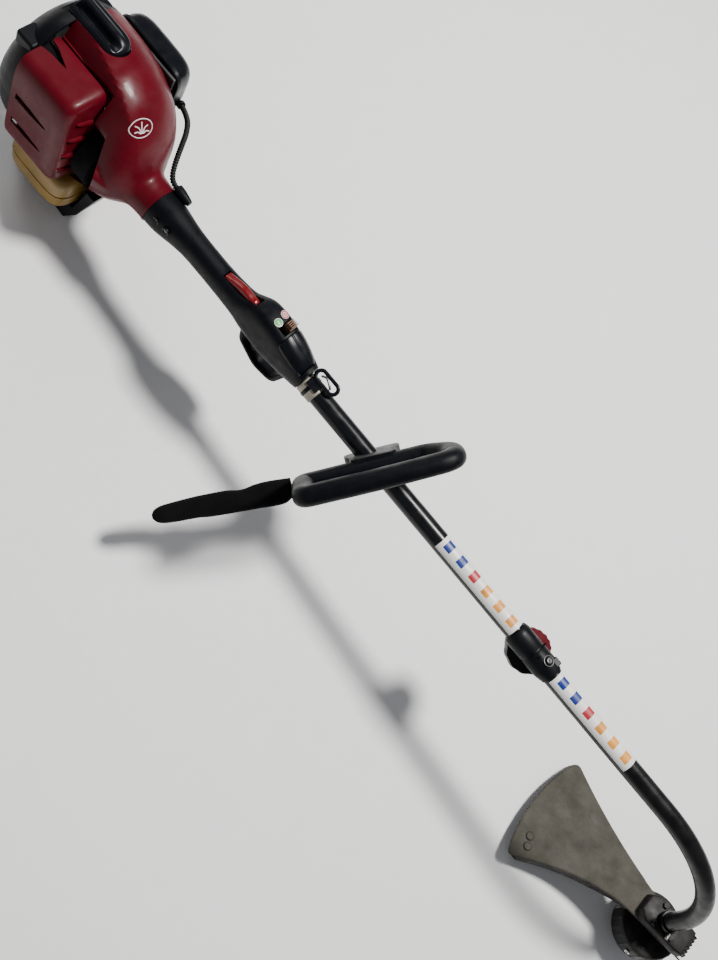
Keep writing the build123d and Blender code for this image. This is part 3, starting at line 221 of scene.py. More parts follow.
band_tan = surface("band_tan", (0.33, 0.3, 0.24), rough=0.42, metallic=0.35, mottle=0.15, grain=0.1,
                   dust=0.15)
switch_brown = surface("switch_brown", (0.15, 0.075, 0.045), rough=0.5, mottle=0.2, grain=0.2, dust=0.15)
rubber = surface("rubber", (0.006, 0.006, 0.007), rough=0.5, mottle=0.12, grain=0.2, gloss=0.3)
primer_clear = surface("primer_clear", (0.4, 0.36, 0.3), rough=0.25, mottle=0.05, glow_through=0.3)
filter_foam = surface("filter_foam", (0.05, 0.05, 0.045), rough=0.9, mottle=0.2, grain=1.0, grain_scale=600)
label_white = surface("label_white", (0.78, 0.78, 0.76), rough=0.4, mottle=0.03, grain=0.03, dust=0.1)
label_blue = surface("label_blue", (0.006, 0.025, 0.2), rough=0.4, mottle=0.08, grain=0.03)
label_red = surface("label_red", (0.4, 0.015, 0.025), rough=0.4, mottle=0.08, grain=0.03)
label_orange = surface("label_orange", (0.68, 0.27, 0.03), rough=0.4, mottle=0.12, mottle_scale=90,
                       grain=0.03)
mark_pale = surface("mark_pale", (0.72, 0.66, 0.66), rough=0.4, mottle=0.04, grain=0.03)
mark_green = surface("mark_green", (0.025, 0.36, 0.08), rough=0.45, mottle=0.06, grain=0.03)
line_orange = surface("line_orange", (0.5, 0.2, 0.03), rough=0.4, mottle=0.08, grain=0.05, glow_through=0.1)
floor_white = surface("floor_white", (0.92, 0.92, 0.92), rough=0.7, mottle=0.005, grain=0.02,
                      grain_scale=200)


# ---------------------------------------------------------------- mesh helpers
def mesh_object(name, verts, faces):
    """A mesh object in the row frame from boom-frame points, its faces turned outward."""
    mesh = bpy.data.meshes.new(name)
    mesh.from_pydata([tuple(v) for v in verts], [], faces)
    mesh.transform(BOOM)
    obj = bpy.data.objects.new(name, mesh)
    bpy.context.scene.collection.objects.link(obj)
    turn_faces_out(mesh)
    return obj


def turn_faces_out(mesh, join_within=0.0):
    """Makes the faces point outward, after joining points that coincide."""
    cleaner = bmesh.new()
    cleaner.from_mesh(mesh)
    if join_within:
        bmesh.ops.remove_doubles(cleaner, verts=cleaner.verts, dist=join_within)
    bmesh.ops.recalc_face_normals(cleaner, faces=cleaner.faces)
    cleaner.to_mesh(mesh)
    cleaner.free()


def piece(name, verts, faces, material, body, stands_for=(), bevel=0.0, crease_angle=35.0):
    """A mesh piece from boom-frame points, with rounded edges, riding on a body."""
    mesh = bpy.data.meshes.new(name)
    mesh.from_pydata([tuple(v) for v in verts], [], faces)
    mesh.validate()
    mesh.transform(BOOM)
    obj = bpy.data.objects.new(name, mesh)
    bpy.context.scene.collection.objects.link(obj)
    return dress(obj, material, body, stands_for, bevel, crease_angle)


def dress(obj, material, body, stands_for=(), bevel=0.0, crease_angle=35.0):
    """Gives a piece its finish, its rounded edges and the body it rides on."""
    mesh = obj.data
    turn_faces_out(mesh, join_within=1e-6)
    mesh.polygons.foreach_set("use_smooth", [True] * len(mesh.polygons))
    mesh.set_sharp_from_angle(angle=radians(crease_angle))
    mesh.materials.clear()
    mesh.materials.append(material)
    round_edges(obj, bevel, 3, crease_angle)
    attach(obj, body)
    if stands_for:
        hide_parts(*stands_for)
    return obj


def round_edges(obj, bevel, segments, crease_angle):
    """Rounds the edges sharper than the crease angle, if there is a bevel."""
    if bevel:
        rounding = obj.modifiers.new("rounding", "BEVEL")
        rounding.width = bevel * 0.001
        rounding.segments = segments
        rounding.limit_method = "ANGLE"
        rounding.angle_limit = radians(crease_angle)
        rounding.harden_normals = True


def merge(*shapes):
    """Several (verts, faces) shapes as one."""
    verts, faces = [], []
    for more_verts, more_faces in shapes:
        start = len(verts)
        verts += more_verts
        faces += [[i + start for i in face] for face in more_faces]
    return verts, faces


def skin(rings, closed=False, capped=True):
    """Quads between rings of equal length, each ring a closed loop of points."""
    count = len(rings[0])
    verts = [Vector(point) for ring in rings for point in ring]
    faces = []
    last = len(rings) if closed else len(rings) - 1
    for i in range(last):
        low, high = i * count, ((i + 1) % len(rings)) * count
        for k in range(count):
            faces.append([low + k, low + (k + 1) % count, high + (k + 1) % count, high + k])
    if capped and not closed:
        faces.append(list(range(count))[::-1])
        faces.append(list(range((len(rings) - 1) * count, len(rings) * count)))
    return verts, faces


def rounded_ring(centre, u, v, half_u, half_v, power=2.0, count=64):
    """A superellipse about a centre: power 2 is an ellipse, and more is squarer."""
    ring = []
    for k in range(count):
        angle = 2 * pi * k / count
        c, s = cos(angle), sin(angle)
        across = half_u * (abs(c) ** (2 / power)) * (1 if c >= 0 else -1)
        upward = half_v * (abs(s) ** (2 / power)) * (1 if s >= 0 else -1)
        ring.append(Vector(centre) + u * across + v * upward)
    return ring


def spline_point(a, b, c, d, t):
    """The place a share t of the way from b to c, on the smooth curve through all four."""
    squared, cubed = 2 * a - 5 * b + 4 * c - d, 3 * b - a - 3 * c + d
    return 0.5 * (2 * b + (c - a) * t + squared * t * t + cubed * t**3)


def corner_curve(first, corner, last, steps):
    """The curve that rounds a corner, from a place before it to a place after it."""
    shares = [k / steps for k in range(steps + 1)]
    return [first * (1 - t) ** 2 + corner * 2 * t * (1 - t) + last * t * t for t in shares]


def smooth_stations(stations, steps):
    """Stations, tuples of numbers, run through by a smooth curve with steps between each two."""
    result = []
    for i in range(len(stations) - 1):
        before = stations[max(i - 1, 0)]
        start, end = stations[i], stations[i + 1]
        after = stations[min(i + 2, len(stations) - 1)]
        for k in range(steps):
            t = k / steps
            result.append(tuple(spline_point(*four, t) for four in zip(before, start, end, after)))
    result.append(tuple(stations[-1]))
    return result


def turned(profile, centre, axis, start, count=72, wave=None):
    """A shape turned about an axis: a profile of (along, radius), and a wave added to its radius."""
    axis = Vector(axis).normalized()
    u = (Vector(start) - axis * Vector(start).dot(axis)).normalized()
    v = axis.cross(u)
    rings = []
    for along, radius in profile:
        ring = []
        for k in range(count):
            angle = 2 * pi * k / count
            reach = radius + (wave(angle, along, radius) if wave else 0)
            ring.append(Vector(centre) + axis * along + (u * cos(angle) + v * sin(angle)) * max(reach, 0.01))
        rings.append(ring)
    return skin(rings)


def slab(outline, origin, u, v, depth):
    """A plate: an outline in the plane of u and v, thickened along u x v."""
    u, v = Vector(u), Vector(v)
    through = u.cross(v).normalized() * depth
    low = [Vector(origin) + u * a + v * b for a, b in outline]
    return skin([low, [point + through for point in low]])


def box(low, high):
    """A plain block, used for cutting and as the start of a bevelled one."""
    outline = [(low[0], low[1]), (high[0], low[1]), (high[0], high[1]), (low[0], high[1])]
    return slab(outline, (0, 0, low[2]), X, Y, high[2] - low[2])


def curve_points(points, steps=8, closed=False):
    """A smooth line through points."""
    count = len(points)
    result = []
    for i in range(count if closed else count - 1):
        pick = (lambda k: points[k % count]) if closed else (lambda k: points[min(max(k, 0), count - 1)])
        a, b, c, d = (Vector(pick(i + k)) for k in (-1, 0, 1, 2))
        for k in range(steps):
            t = k / steps
            result.append(spline_point(a, b, c, d, t))
    if not closed:
        result.append(Vector(points[-1]))
    return result


def rounded_path(corners, radii, closed=False, steps=8):
    """Straight runs joined by round corners."""
    count = len(corners)
    result = []
    for i, corner in enumerate(corners):
        corner = Vector(corner)
        if not closed and i in (0, count - 1):
            result.append(corner)
            continue
        before = (Vector(corners[i - 1]) - corner)
        after = (Vector(corners[(i + 1) % count]) - corner)
        half = before.angle(after) / 2
        reach = min(radii[i] / (sin(half) / cos(half)), 0.48 * before.length, 0.48 * after.length)
        first = corner + before.normalized() * reach
        last = corner + after.normalized() * reach
        result += corner_curve(first, corner, last, steps)
    return result


def swept(path, normal, half_across, half_along, power, count, closed=False):
    """A bar along a flat path: half_along is its half thickness along the plane's normal."""
    rings = []
    total = len(path)
    normal = Vector(normal).normalized()
    for i, point in enumerate(path):
        before = path[i - 1] if (closed or i) else point
        after = path[(i + 1) % total] if (closed or i < total - 1) else point
        along = (Vector(after) - Vector(before)).normalized()
        side = normal.cross(along).normalized()
        rings.append(rounded_ring(point, side, normal, half_across, half_along, power, count))
    return skin(rings, closed=closed, capped=not closed)


def pipe(path, radius, count=14):
    """A round bar along any path, carrying its frame along without twist."""
    rings = []
    side = None
    for i, point in enumerate(path):
        along = (Vector(path[min(i + 1, len(path) - 1)]) - Vector(path[max(i - 1, 0)])).normalized()
        side = along.orthogonal() if side is None else side - along * side.dot(along)
        side.normalize()
        size = radius(i) if callable(radius) else radius
        rings.append(rounded_ring(point, side, along.cross(side), size, size, 2.0, count))
    return skin(rings)


def carved(name, solid, cutters, thickness=0.0):
    """A mesh object with other shapes cut out of it, and optionally hollowed to a wall first."""
    obj = mesh_object(name, *solid)
    if thickness:
        wall = obj.modifiers.new("wall", "SOLIDIFY")
        wall.thickness = thickness * 0.001
        wall.offset = -1
    helpers = []
    for i, shape in enumerate(cutters):
        cutter = mesh_object(f"{name}_cut_{i}", *shape)
        helpers.append(cutter)
        cut = obj.modifiers.new(f"cut_{i}", "BOOLEAN")
        cut.operation = "DIFFERENCE"
        cut.object = cutter
        cut.solver = "EXACT"
    bpy.context.view_layer.update()
    result = bpy.data.meshes.new_from_object(obj.evaluated_get(bpy.context.evaluated_depsgraph_get()))
    obj.modifiers.clear()
    obj.data = result
    for cutter in helpers:
        bpy.data.objects.remove(cutter)
    return obj


def finish_node(name, material, bevel=0.0):
    """A CAD node that is shown as it is, with its finish and slightly rounded edges."""
    node = frame["nodes"][name]
    node.data.materials.clear()
    node.data.materials.append(material)
    round_edges(node, bevel, 2, 40)


def pan_screw(centre, axis, radius, height):
    """A domed screw head."""
    axis = Vector(axis).normalized()
    side = axis.orthogonal().normalized()
    profile = [(0, radius), (0.4 * height, radius), (0.8 * height, 0.82 * radius), (height, 0.5 * radius),
               (height, 0.2)]
    return turned(profile, centre, axis, side, 28)


# ---------------------------------------------------------------- engine cowl
cowl_stations = [
    (-112, 0, 0, 25.5, 25.5), (-126, 0, 0.3, 26, 26), (-138, 0, 1.5, 28.5, 29), (-147, 2, 7, 39, 40.5),
    (-160, 5, 15, 54.5, 58), (-182, 8, 22, 67, 76), (-212, 9, 25, 76, 88), (-230, 9.5, 25.7, 79.5, 91),
    (-250, 10, 26, 82, 93), (-273, 10, 25.7, 83.5, 93.5), (-296, 10, 25, 84, 93),
]


badge_place = (-171, -2)
cowl_cut = -31      # the cowl stops here beside the muffler cover's front


def cowl_ring(x, left, up, half_width, half_height, count=180):
    """A cowl section, with the crease that drops to the muffler cover on its right."""
    full = min(1, max(0, (-150 - x) / 35))
    crease = -13 + 17 * min(1, max(0, (-185 - x) / 85))
    ring = rounded_ring((x, left, up), Y, Z, half_width, half_height, 2.04, count)
    for point in ring:
        if point.z > up and point.y < crease:
            fall = (crease - point.y) * 1.35 * full
            point.z -= min(fall, 0.82 * max(0, point.z - up))
    return ring


def engine_cowl():
    """The glossy red cowl from the neck to the back seam, open for the muffler, air box and tank."""
    rings = [cowl_ring(*station) for station in smooth_stations(cowl_stations, 7)]
    cap_mouth = [
        (-275 + (20.5 if i < 12 else -34) + 19 * cos(pi * (i - 5.5) / 11 if i < 12 else pi * (i - 6.5) / 11),
         23 + 19 * sin(pi * (i - 5.5) / 11 if i < 12 else pi * (i - 6.5) / 11))
        for i in range(24)
    ]
    cutters = [
        box((-301, -140, -120), (-209, -12, 140)),
        slab([(-215, -140), (-215, cowl_cut), (-190, cowl_cut), (-165, -66), (-165, -140)],
             (0, 0, -30), X, Y, 170),
        box((-301, 50, -120), (-190, 140, 52)),
        box((-301, 78.4, -120), (-190, 140, 88)),
        box((-301, -130, -152), (-188, 130, -52)),
        slab(cap_mouth, (0, 0, 90), X, Y, 50),
    ]
    shell = carved("engine_cowl", skin(rings, capped=False), cutters, thickness=2.6)
    dress(shell, cowl_red, "trimmer", ("fan_housing",), crease_angle=28)
    # the wall that stands beside the muffler
    wall = slab([(-296, 30), (-210, 30), (-210, 86), (-222, 97), (-296, 98.5)], (0, -12.2, 0), X, Z, -2.4)
    piece("cowl_flank", *wall, cowl_red, "trimmer", bevel=0.8)
    # a black shroud round the flywheel and the drum, painted shade that makes the gap beside the muffler
    # cover dark
    outside = [(-209.5, 51.3), (-186, 51.3), (-184.6, 36), (-160.9, 36), (-160.9, 10.8)]
    inside = [(-162.2, 10.8), (-162.2, 34.4), (-186.2, 34.4), (-187.2, 50.0), (-209.5, 50.0)]
    rings = []
    for along, radius in outside + inside:
        turns = [2 * pi * k / 72 for k in range(72)]
        rings.append([Vector((along, radius * cos(turn), radius * sin(turn))) for turn in turns])
    piece("shade_shroud", *skin(rings, closed=True, capped=False), black_foam_and_shade, "trimmer", crease_angle=30)


def collar_bead():
    """The neck's end: a rolled edge against the rear grip."""
    profile = [(-3.6, 25.2), (-3.0, 26.1), (-1.2, 26.3), (-0.3, 25.6), (-0.3, 24.0), (-3.6, 24.0)]
    piece("neck_bead", *turned(profile, (-112, 0, 0), X, Z, 96), cowl_red, "trimmer")


def cowl_surface(x, y):
    """The point of the cowl's crown above a place, and its outward direction."""
    def height(at_x, at_y):
        for one, two in zip(cowl_stations, cowl_stations[1:]):
            if two[0] <= at_x <= one[0]:
                t = (at_x - one[0]) / (two[0] - one[0])
                _, left, up, half_width, half_height = (a + (b - a) * t for a, b in zip(one, two))
                reach = 1 - (abs(at_y - left) / half_width) ** 2.04
                return up + half_height * max(reach, 0) ** (1 / 2.04)
        return 0.0

    slope_x = (height(x + 2, y) - height(x - 2, y)) / 4
    slope_y = (height(x, y + 2) - height(x, y - 2)) / 4
    return Vector((x, y, height(x, y))), Vector((-slope_x, -slope_y, 1)).normalized()


def maker_badge():
    """A plain badge on the cowl's front: a pale oval round a simple tuft of five blades."""
    cowl = BVHTree.FromObject(bpy.data.objects["engine_cowl"], bpy.context.evaluated_depsgraph_get())
    centre, outward = cowl_surface(*badge_place)
    across = (Vector((0.34, 1, 0)) - outward * Vector((0.34, 1, 0)).dot(outward)).normalized()
    upward = outward.cross(across)
    back_to_boom = BOOM.inverted()

    def on_cowl(u, v, lift):
        start = BOOM @ (centre + across * u + upward * v + outward * 30)
        aim = (BOOM.to_3x3() @ -outward).normalized()
        hit = cowl.ray_cast(start, aim)[0]
        return (back_to_boom @ hit) + outward * lift

    def line(points, half_width, closed=False):
        """A raised line of even width on the cowl."""
        path = curve_points([Vector((u, v, 0)) for u, v in points], 6, closed)
        rings = []
        for k, point in enumerate(path):
            before = path[k - 1] if (closed or k) else point
            after = path[(k + 1) % len(path)] if (closed or k < len(path) - 1) else point
            along = (after - before).normalized()
            side = Vector((-along.y, along.x, 0)) * half_width
            edges = ((point - side, -0.3), (point - side, 0.3), (point + side, 0.3), (point + side, -0.3))
            rings.append([on_cowl(*edge.xy, lift) for edge, lift in edges])
        return skin(rings, closed=closed, capped=not closed)

    half_wide, half_high = 14.6, 10.4
    oval = [(half_wide * cos(2 * pi * k / 40), half_high * sin(2 * pi * k / 40)) for k in range(40)]
    shapes = [line(oval, 0.5, closed=True)]
    blades = (
        ((-1.6, -6.0), (-5.2, -3.4), (-9.4, -3.8)), ((-1.0, -6.0), (-3.4, 0.6), (-8.2, 3.8)),
        ((0, -6.2), (0.2, 0.4), (1.0, 7.0)), ((1.0, -6.0), (3.8, -0.2), (8.6, 2.2)),
        ((1.6, -6.0), (5.6, -4.0), (9.6, -5.0)),
    )
    for root, bend, tip in blades:
        shapes.append(line([root, bend, tip], 0.6))
    piece("maker_badge", *merge(*shapes), mark_pale, "trimmer")


def back_cover():
    """The black cover behind the cowl, with the raised pads on its crown and its cooling slots."""
    stations = [
        (-296.4, 10, 25, 83.6, 92.6), (-303, 10, 25, 83.4, 91.6), (-312, 10, 25, 81.5, 88.5),
        (-321, 9.5, 24.6, 77, 82), (-329, 9, 24, 70, 73), (-334, 8.4, 23, 62, 64), (-336, 8, 22, 52, 53),
    ]
    rings = [
        rounded_ring((x, left, up), Y, Z, half_width, half_height, 2.05, 150)
        for x, left, up, half_width, half_height in smooth_stations(stations, 4)
    ]
    verts, faces = skin(rings, capped=False)
    faces.append(list(range(len(verts) - 150, len(verts))))
    slots = []
    for k in range(10):
        angle = radians(18 + 36 * k)
        radial = Y * cos(angle) + Z * sin(angle)
        around = X.cross(radial)
        outline = [(-10, -2), (10, -2), (10, 2), (-10, 2)]
        slots.append(slab(outline, Vector((-340, 0, 0)) + radial * 28, radial, around, 16))
    cap_mouth = [(-320, 4), (-290, 4), (-290, 42), (-320, 42)]
    cutters = [
        box((-345, -130, -152), (-280, 130, -52)),
        box((-345, 78.4, -16), (-280, 140, 88)),
        slab(cap_mouth, (0, 0, 92), X, Y, 50),
        *slots,
    ]
    shell = carved("back_cover", (verts, faces), cutters, thickness=2.6)
    dress(shell, black_moulded, "trimmer", ("rear_cover",), crease_angle=30)
    for name, y, width, low in (("cover_pad_right", -38, 26, 86), ("cover_pad_left", 56, 18, 80)):
        top = 25 + 91 * sqrt(max(0, 1 - ((y - 10) / 83.5) ** 2))
        outline = [(-326, y - width / 2), (-299, y - width / 2), (-299, y + width / 2), (-326, y + width / 2)]
        pad = slab(outline, (0, 0, low - 8), X, Y, top - low + 8 - 1.0)
        piece(name, *pad, black_moulded, "trimmer", bevel=4, crease_angle=50)


def plug_cap():
    """The spark plug cap in the crown: a round-nosed pod with a finger trough beside its ridge."""
    rings = []
    stations = [
        (-311, 17.6, 0), (-300, 18.2, 0), (-285, 18.5, 0), (-268, 18.5, 0), (-256, 18.2, 0),
        (-248, 16.4, -0.6), (-242, 12.6, -2.4), (-238.5, 8, -5.5), (-236.6, 3.2, -10),
    ]
    for x, half_width, drop in smooth_stations(stations, 5):
        ring = []
        for k in range(60):
            angle = pi * k / 59
            y = half_width * cos(angle)
            height = 17.5 + (7.5 + drop * 0.6) * sin(angle) ** 0.7
            trough = 0.0
            if -308 < x < -243:
                reach = (y + 5.5) / 6.2
                fade = min(1, (-243 - x) / 14)
                trough = 8.5 * fade * max(0, 1 - reach * reach)
            ridge = 2.6 * max(0, 1 - ((y - 5.5) / 5.5) ** 2) * min(1, max(0, (-240 - x) / 20))
            ring.append(Vector((x, 23 + y, 98 + max(0, height + ridge + drop - trough))))
        ring += [Vector((x, 23 - half_width, 94)), Vector((x, 23 + half_width, 94))]
        rings.append(ring)
    piece("plug_cap_pod", *skin(rings), black_gloss, "trimmer", ("plug_cap",), crease_angle=55)
    lip = rounded_path(
        [(-312, 4.6, 113.5), (-252, 4.6, 115.5), (-235.6, 23, 111.5), (-252, 41.4, 113),
         (-312, 41.4, 111.5)],
        [0, 15, 15, 15, 0],
    )
    piece("plug_cap_lip", *pipe(lip, 1.1, 10), black_gloss, "trimmer")


def louvre(y, z, length):
    """One raised louvre on the muffler cover's front: a wedge, thick at its outer end."""
    along = Vector((0, cos(radians(24)), -sin(radians(24))))
    upward = Vector((0, sin(radians(24)), cos(radians(24))))
    rings = []
    for k in range(13):
        t = k / 12
        size = sin(pi * min(1, 0.12 + t * 0.95)) ** 0.6
        centre = Vector((-212.8, y, z)) + along * (t - 0.5) * length
        thick = 4.0 * size * (0.4 + 0.6 * t)
        rings.append([
            centre - X * 2 - upward * thick, centre + X * (0.6 + 2.6 * size) - upward * thick * 0.7,
            centre + X * (0.4 + 1.6 * size) + upward * thick * 0.5, centre - X * 2 + upward * thick * 1.1,
        ])
    return skin(rings)


def muffler_cover():
    """The red box over the muffler, with its flute, side slots and louvred front, and black sheets of painted
    shade under the flute and behind the slots.
    """
    rings = []
    shape = [
        (-294, 1.0), (-286, 1.0), (-260, 1.0), (-236, 1.0), (-225, 0.995), (-218.5, 0.96), (-215, 0.9),
        (-213.4, 0.82), (-213, 0.74),
    ]
    middle_y, middle_z = -40, 29.5
    half_y, half_z = 36, 75.5
    for x, scale in smooth_stations(shape, 3):
        shrink = (1 - scale) * 52
        rings.append(rounded_ring((x, middle_y, middle_z), Y, Z, half_y - shrink, half_z - shrink, 5.2, 120))
    verts, faces = skin(rings, capped=False)
    faces.append(list(range(len(verts) - 120, len(verts))))
    flute = [(-298, -27), (-283, -29), (-258, -38.5), (-283, -41), (-298, -45)]
    cutters = [
        box((-320, -18, -120), (-190, 60, 140)),
        slab(flute, (0, 0, 99), X, Y, 12),
    ]
    for z in (2, 47):
        slot = [(-286, z - 5.6), (-262, z - 5.0), (-240, z - 2.0), (-235, z),
                (-240, z + 2.0), (-262, z + 4.0), (-286, z + 4.4)]
        cutters.append(slab(slot, (0, -68, 0), X, Z, 14))
    for y, z in ((-37, 62), (-44, 35), (-47, 5), (-47, -25)):
        across = Vector((0, cos(radians(24)), -sin(radians(24))))
        upward = Vector((0, sin(radians(24)), cos(radians(24))))
        mouth = [(-20, -2.6), (19, -3.4), (21, 0), (19, 2.6), (-20, 1.4)]
        cutters.append(slab(mouth, (-222, y, z), across, upward, 14))
    shell = carved("muffler_box", (verts, faces), cutters, thickness=2.6)
    dress(shell, cowl_red, "trimmer", ("muffler_cover",), crease_angle=32)
    louvres = merge(*(louvre(y, z + 4.6, 42) for y, z in ((-37, 62), (-44, 35), (-47, 5), (-47, -25))))
    piece("muffler_louvres", *louvres, cowl_red, "trimmer", bevel=0.35)
    # painted shade: a black sheet under the flute, so the opening reads dark as if in shadow
    outline = [(-296, -44), (-262, -43.5), (-256, -38.5), (-262, -29), (-296, -27.5)]
    floor = slab(outline, (0, 0, 97.4), X, Y, 1.4)
    piece("flute_shade", *floor, black_foam_and_shade, "trimmer", bevel=0.4)
    # painted shade: a black sheet behind the side slots, in place of the shadow inside the cover
    slot_shade_sheet = slab([(-292, -12), (-232, -12), (-232, 60), (-292, 60)], (0, -66, 0), X, Z, -1.2)
    piece("slot_shade", *slot_shade_sheet, black_foam_and_shade, "trimmer")
    # the red post at the back of the cover
    post = pipe([Vector((-297, -66, 74)), Vector((-284, -69.5, 66))], 2.6, 16)
    piece("cover_post", *post, cowl_red, "trimmer", bevel=0.4)


# ---------------------------------------------------------------- rear grip and throttle housing
def collar_screws():
    """The collar's two screws in their wells."""
    for i, (x, z) in enumerate(((-97, 9), (-80, 10))):
        well = turned([(0, 5.2), (0.8, 4.9), (0.8, 3.6), (-2.5, 3.4)], (x, -21.6, z), -Y, X, 32)
        piece(f"collar_well_{i + 1}", *well, black_gloss, "trimmer")
        screw = pan_screw((x, -19.8, z), -Y, 3.1, 2.2)
        piece(f"collar_screw_{i + 1}", *screw, zinc, "trimmer", bevel=0.2)


def grip_shell():
    """The soft black grip and its throttle housing, with a flat deck for the switch marks."""
    grip = [
        (-111.7, 0, 24.5, 24.5, 2.1), (-98, 0.3, 24, 24.3, 2.1), (-84, 1, 22, 23, 2.15),
        (-68, 2, 19, 20.6, 2.2),
        (-50, 3, 16.8, 18.8, 2.3), (-25, 3, 16.3, 18.4, 2.3), (0, 3, 16.5, 18.5, 2.3),
        (24, 4, 17.2, 19.6, 2.4),
        (40, 5.5, 18.2, 21.4, 2.5), (50, 8.6, 20, 25, 2.7), (60, 12.2, 20.8, 29.8, 3.0),
        (70, 14, 21, 32, 3.2),
        (84, 13.8, 21, 33, 3.4), (96, 12.8, 20.9, 32.6, 3.4), (112, 11.6, 20.3, 30, 3.2),
        (126, 10.3, 19.4, 27.2, 3.0),
        (142, 8.3, 18, 23.2, 2.7), (151, 7.2, 17.1, 20.6, 2.5), (154, 7, 16.6, 19.8, 2.4),
    ]
    rings = [
        rounded_ring((x, 0, up), Y, Z, half_width, half_height, power, 96)
        for x, up, half_width, half_height, power in smooth_stations(grip, 4)
    ]
    cutters = [
        box((2, -6.2, 13), (56, 6.2, 70)),
        box((91.5, -8.8, 33), (104.5, 14, 70)),
        box((60.5, -5.4, -40), (87.5, 5.4, -12)),
        slab([(106.5, 70), (106.5, 37.2), (108, 36), (149, 21.5), (151, 70)], (0, 40, 0), X, Z, 80),
    ]
    shell = carved("grip_shell", skin(rings), cutters)
    dress(shell, black_soft, "trimmer", ("grip_left", "grip_right"), crease_angle=34)


def trigger_guard():
    """The loop under the housing that guards the trigger."""
    path = rounded_path(
        [Vector((54, 0, -6)), Vector((63.5, 0, -44)), Vector((96, 0, -60.4)), Vector((125, 0, -54.5)),
         Vector((136, 0, -6))],
        [0, 14, 22, 15, 0],
    )
    piece("trigger_guard", *swept(path, Y, 3.6, 8.6, 3.4, 32), black_soft, "trimmer")


def front_lid():
    """The lid over the cable end: a ridged wedge in front of the switch."""
    rings = []
    for x, low, high, half in ((107.2, 35.4, 45.4, 17.6), (110, 34.6, 45.2, 18.6), (120, 31, 42.2, 18.5),
                               (132, 26.8, 37, 17.6), (143, 22.8, 30.6, 16), (148.4, 21.2, 26.2, 14)):
        ring = []
        for k in range(40):
            t = k / 39
            y = half * (1 - 2 * t)
            crown = (1 - abs(1 - 2 * t) ** 3.2)
            ridge = 1.0 if abs(y) < 1.0 else 0.0
            ring.append(Vector((x, y, low - 4 + (high - low + 4) * (0.3 + 0.7 * crown) - 0.7 * ridge)))
        ring += [Vector((x, -half + 1, low - 5)), Vector((x, half - 1, low - 5))]
        rings.append(ring)
    piece("front_lid", *skin(rings), black_gloss, "trimmer", ("housing_lid",), bevel=0.9, crease_angle=50)


def disc(centre, normal, along, radius, thick, count=40):
    """A thin round disc standing on a surface."""
    profile = [(0, radius), (thick, radius), (thick + 0.05, radius - 0.2), (thick + 0.05, 0.1)]
    return turned(profile, centre, normal, along, count)


def ring_mark(centre, normal, along, outer, inner, low, thick, count=48):
    """A flat ring standing on a surface."""
    profile = [(low, outer), (low + thick, outer), (low + thick, inner), (low, inner)]
    return turned(profile, centre, normal, along, count)


def switch_marks():
    """The start and stop marks beside the switch: a bar in a green disc and an oval in a red ring."""
    slope = Vector((0.07, 0, 1)).normalized()
    ahead = Y.cross(slope).normalized()
    for name, x, y, ink in (("run", 87.4, -4.4, mark_green), ("stop", 84.0, 9.4, label_red)):
        z = 13.8 + 33 * (1 - (abs(y) / 21) ** 3.4) ** (1 / 3.4) - 0.25
        centre = Vector((x, y, z))
        tilt = (slope + Y * (0.012 * y)).normalized()
        piece(f"mark_{name}_face", *disc(centre, tilt, ahead, 5.2, 0.5), mark_pale, "trimmer")
        if name == "run":
            piece("mark_run_field", *disc(centre, tilt, ahead, 4.5, 0.62), ink, "trimmer")
            outline = [(-2.4, -0.6), (2.4, -0.6), (2.4, 0.6), (-2.4, 0.6)]
            bar = slab(outline, centre + tilt * 0.6, ahead, Y, 0.2)
            piece("mark_run_bar", *bar, mark_pale, "trimmer")
        else:
            piece("mark_stop_ring", *ring_mark(centre, tilt, ahead, 4.7, 3.2, 0.4, 0.25), ink, "trimmer")
            oval = ring_mark(centre, tilt, ahead, 2.2, 1.0, 0.4, 0.25)
            piece("mark_stop_oval", *oval, ink, "trimmer")


def rocker_switch():
    """The brown stop switch, a ribbed slider."""
    ribs = []
    base = [(92.8, 1.2), (103.2, 1.2), (103.2, 12.8), (92.8, 12.8)]
    ribs.append(slab(base, (0, 0, 30), X, Y, 15.4))
    for k in range(4):
        x = 94 + 2.4 * k
        outline = [(x, 1.6), (x + 1.3, 1.6), (x + 1.3, 12.4), (x, 12.4)]
        ribs.append(slab(outline, (0, 0, 44), X, Y, 6.6 + 0.4 * k))
    piece("stop_slider", *merge(*ribs), switch_brown, "stop_switch", ("stop_switch",), bevel=0.5)


def lockout():
    """The glossy red lever on the grip: a flowing paddle that kicks up at its front."""
    rings = []
    for x, low, high, half in smooth_stations([
        (4, 16.6, 21.4, 5.2), (10, 16.4, 24.2, 5.5), (20, 18.2, 28.6, 5.5), (30, 20, 31.4, 5.5),
        (38, 20.4, 31.6, 5.5), (45, 20.6, 31.2, 5.5), (50, 21, 31.8, 5.5), (53.8, 22.4, 30.4, 5.3),
    ], 5):
        middle = (low + high) / 2
        rings.append(rounded_ring((x, 0, middle), Y, Z, half, (high - low) / 2, 3.0, 40))
    piece("lockout_paddle", *skin(rings), lever_red, "lockout_lever", ("lockout_lever",), crease_angle=50)


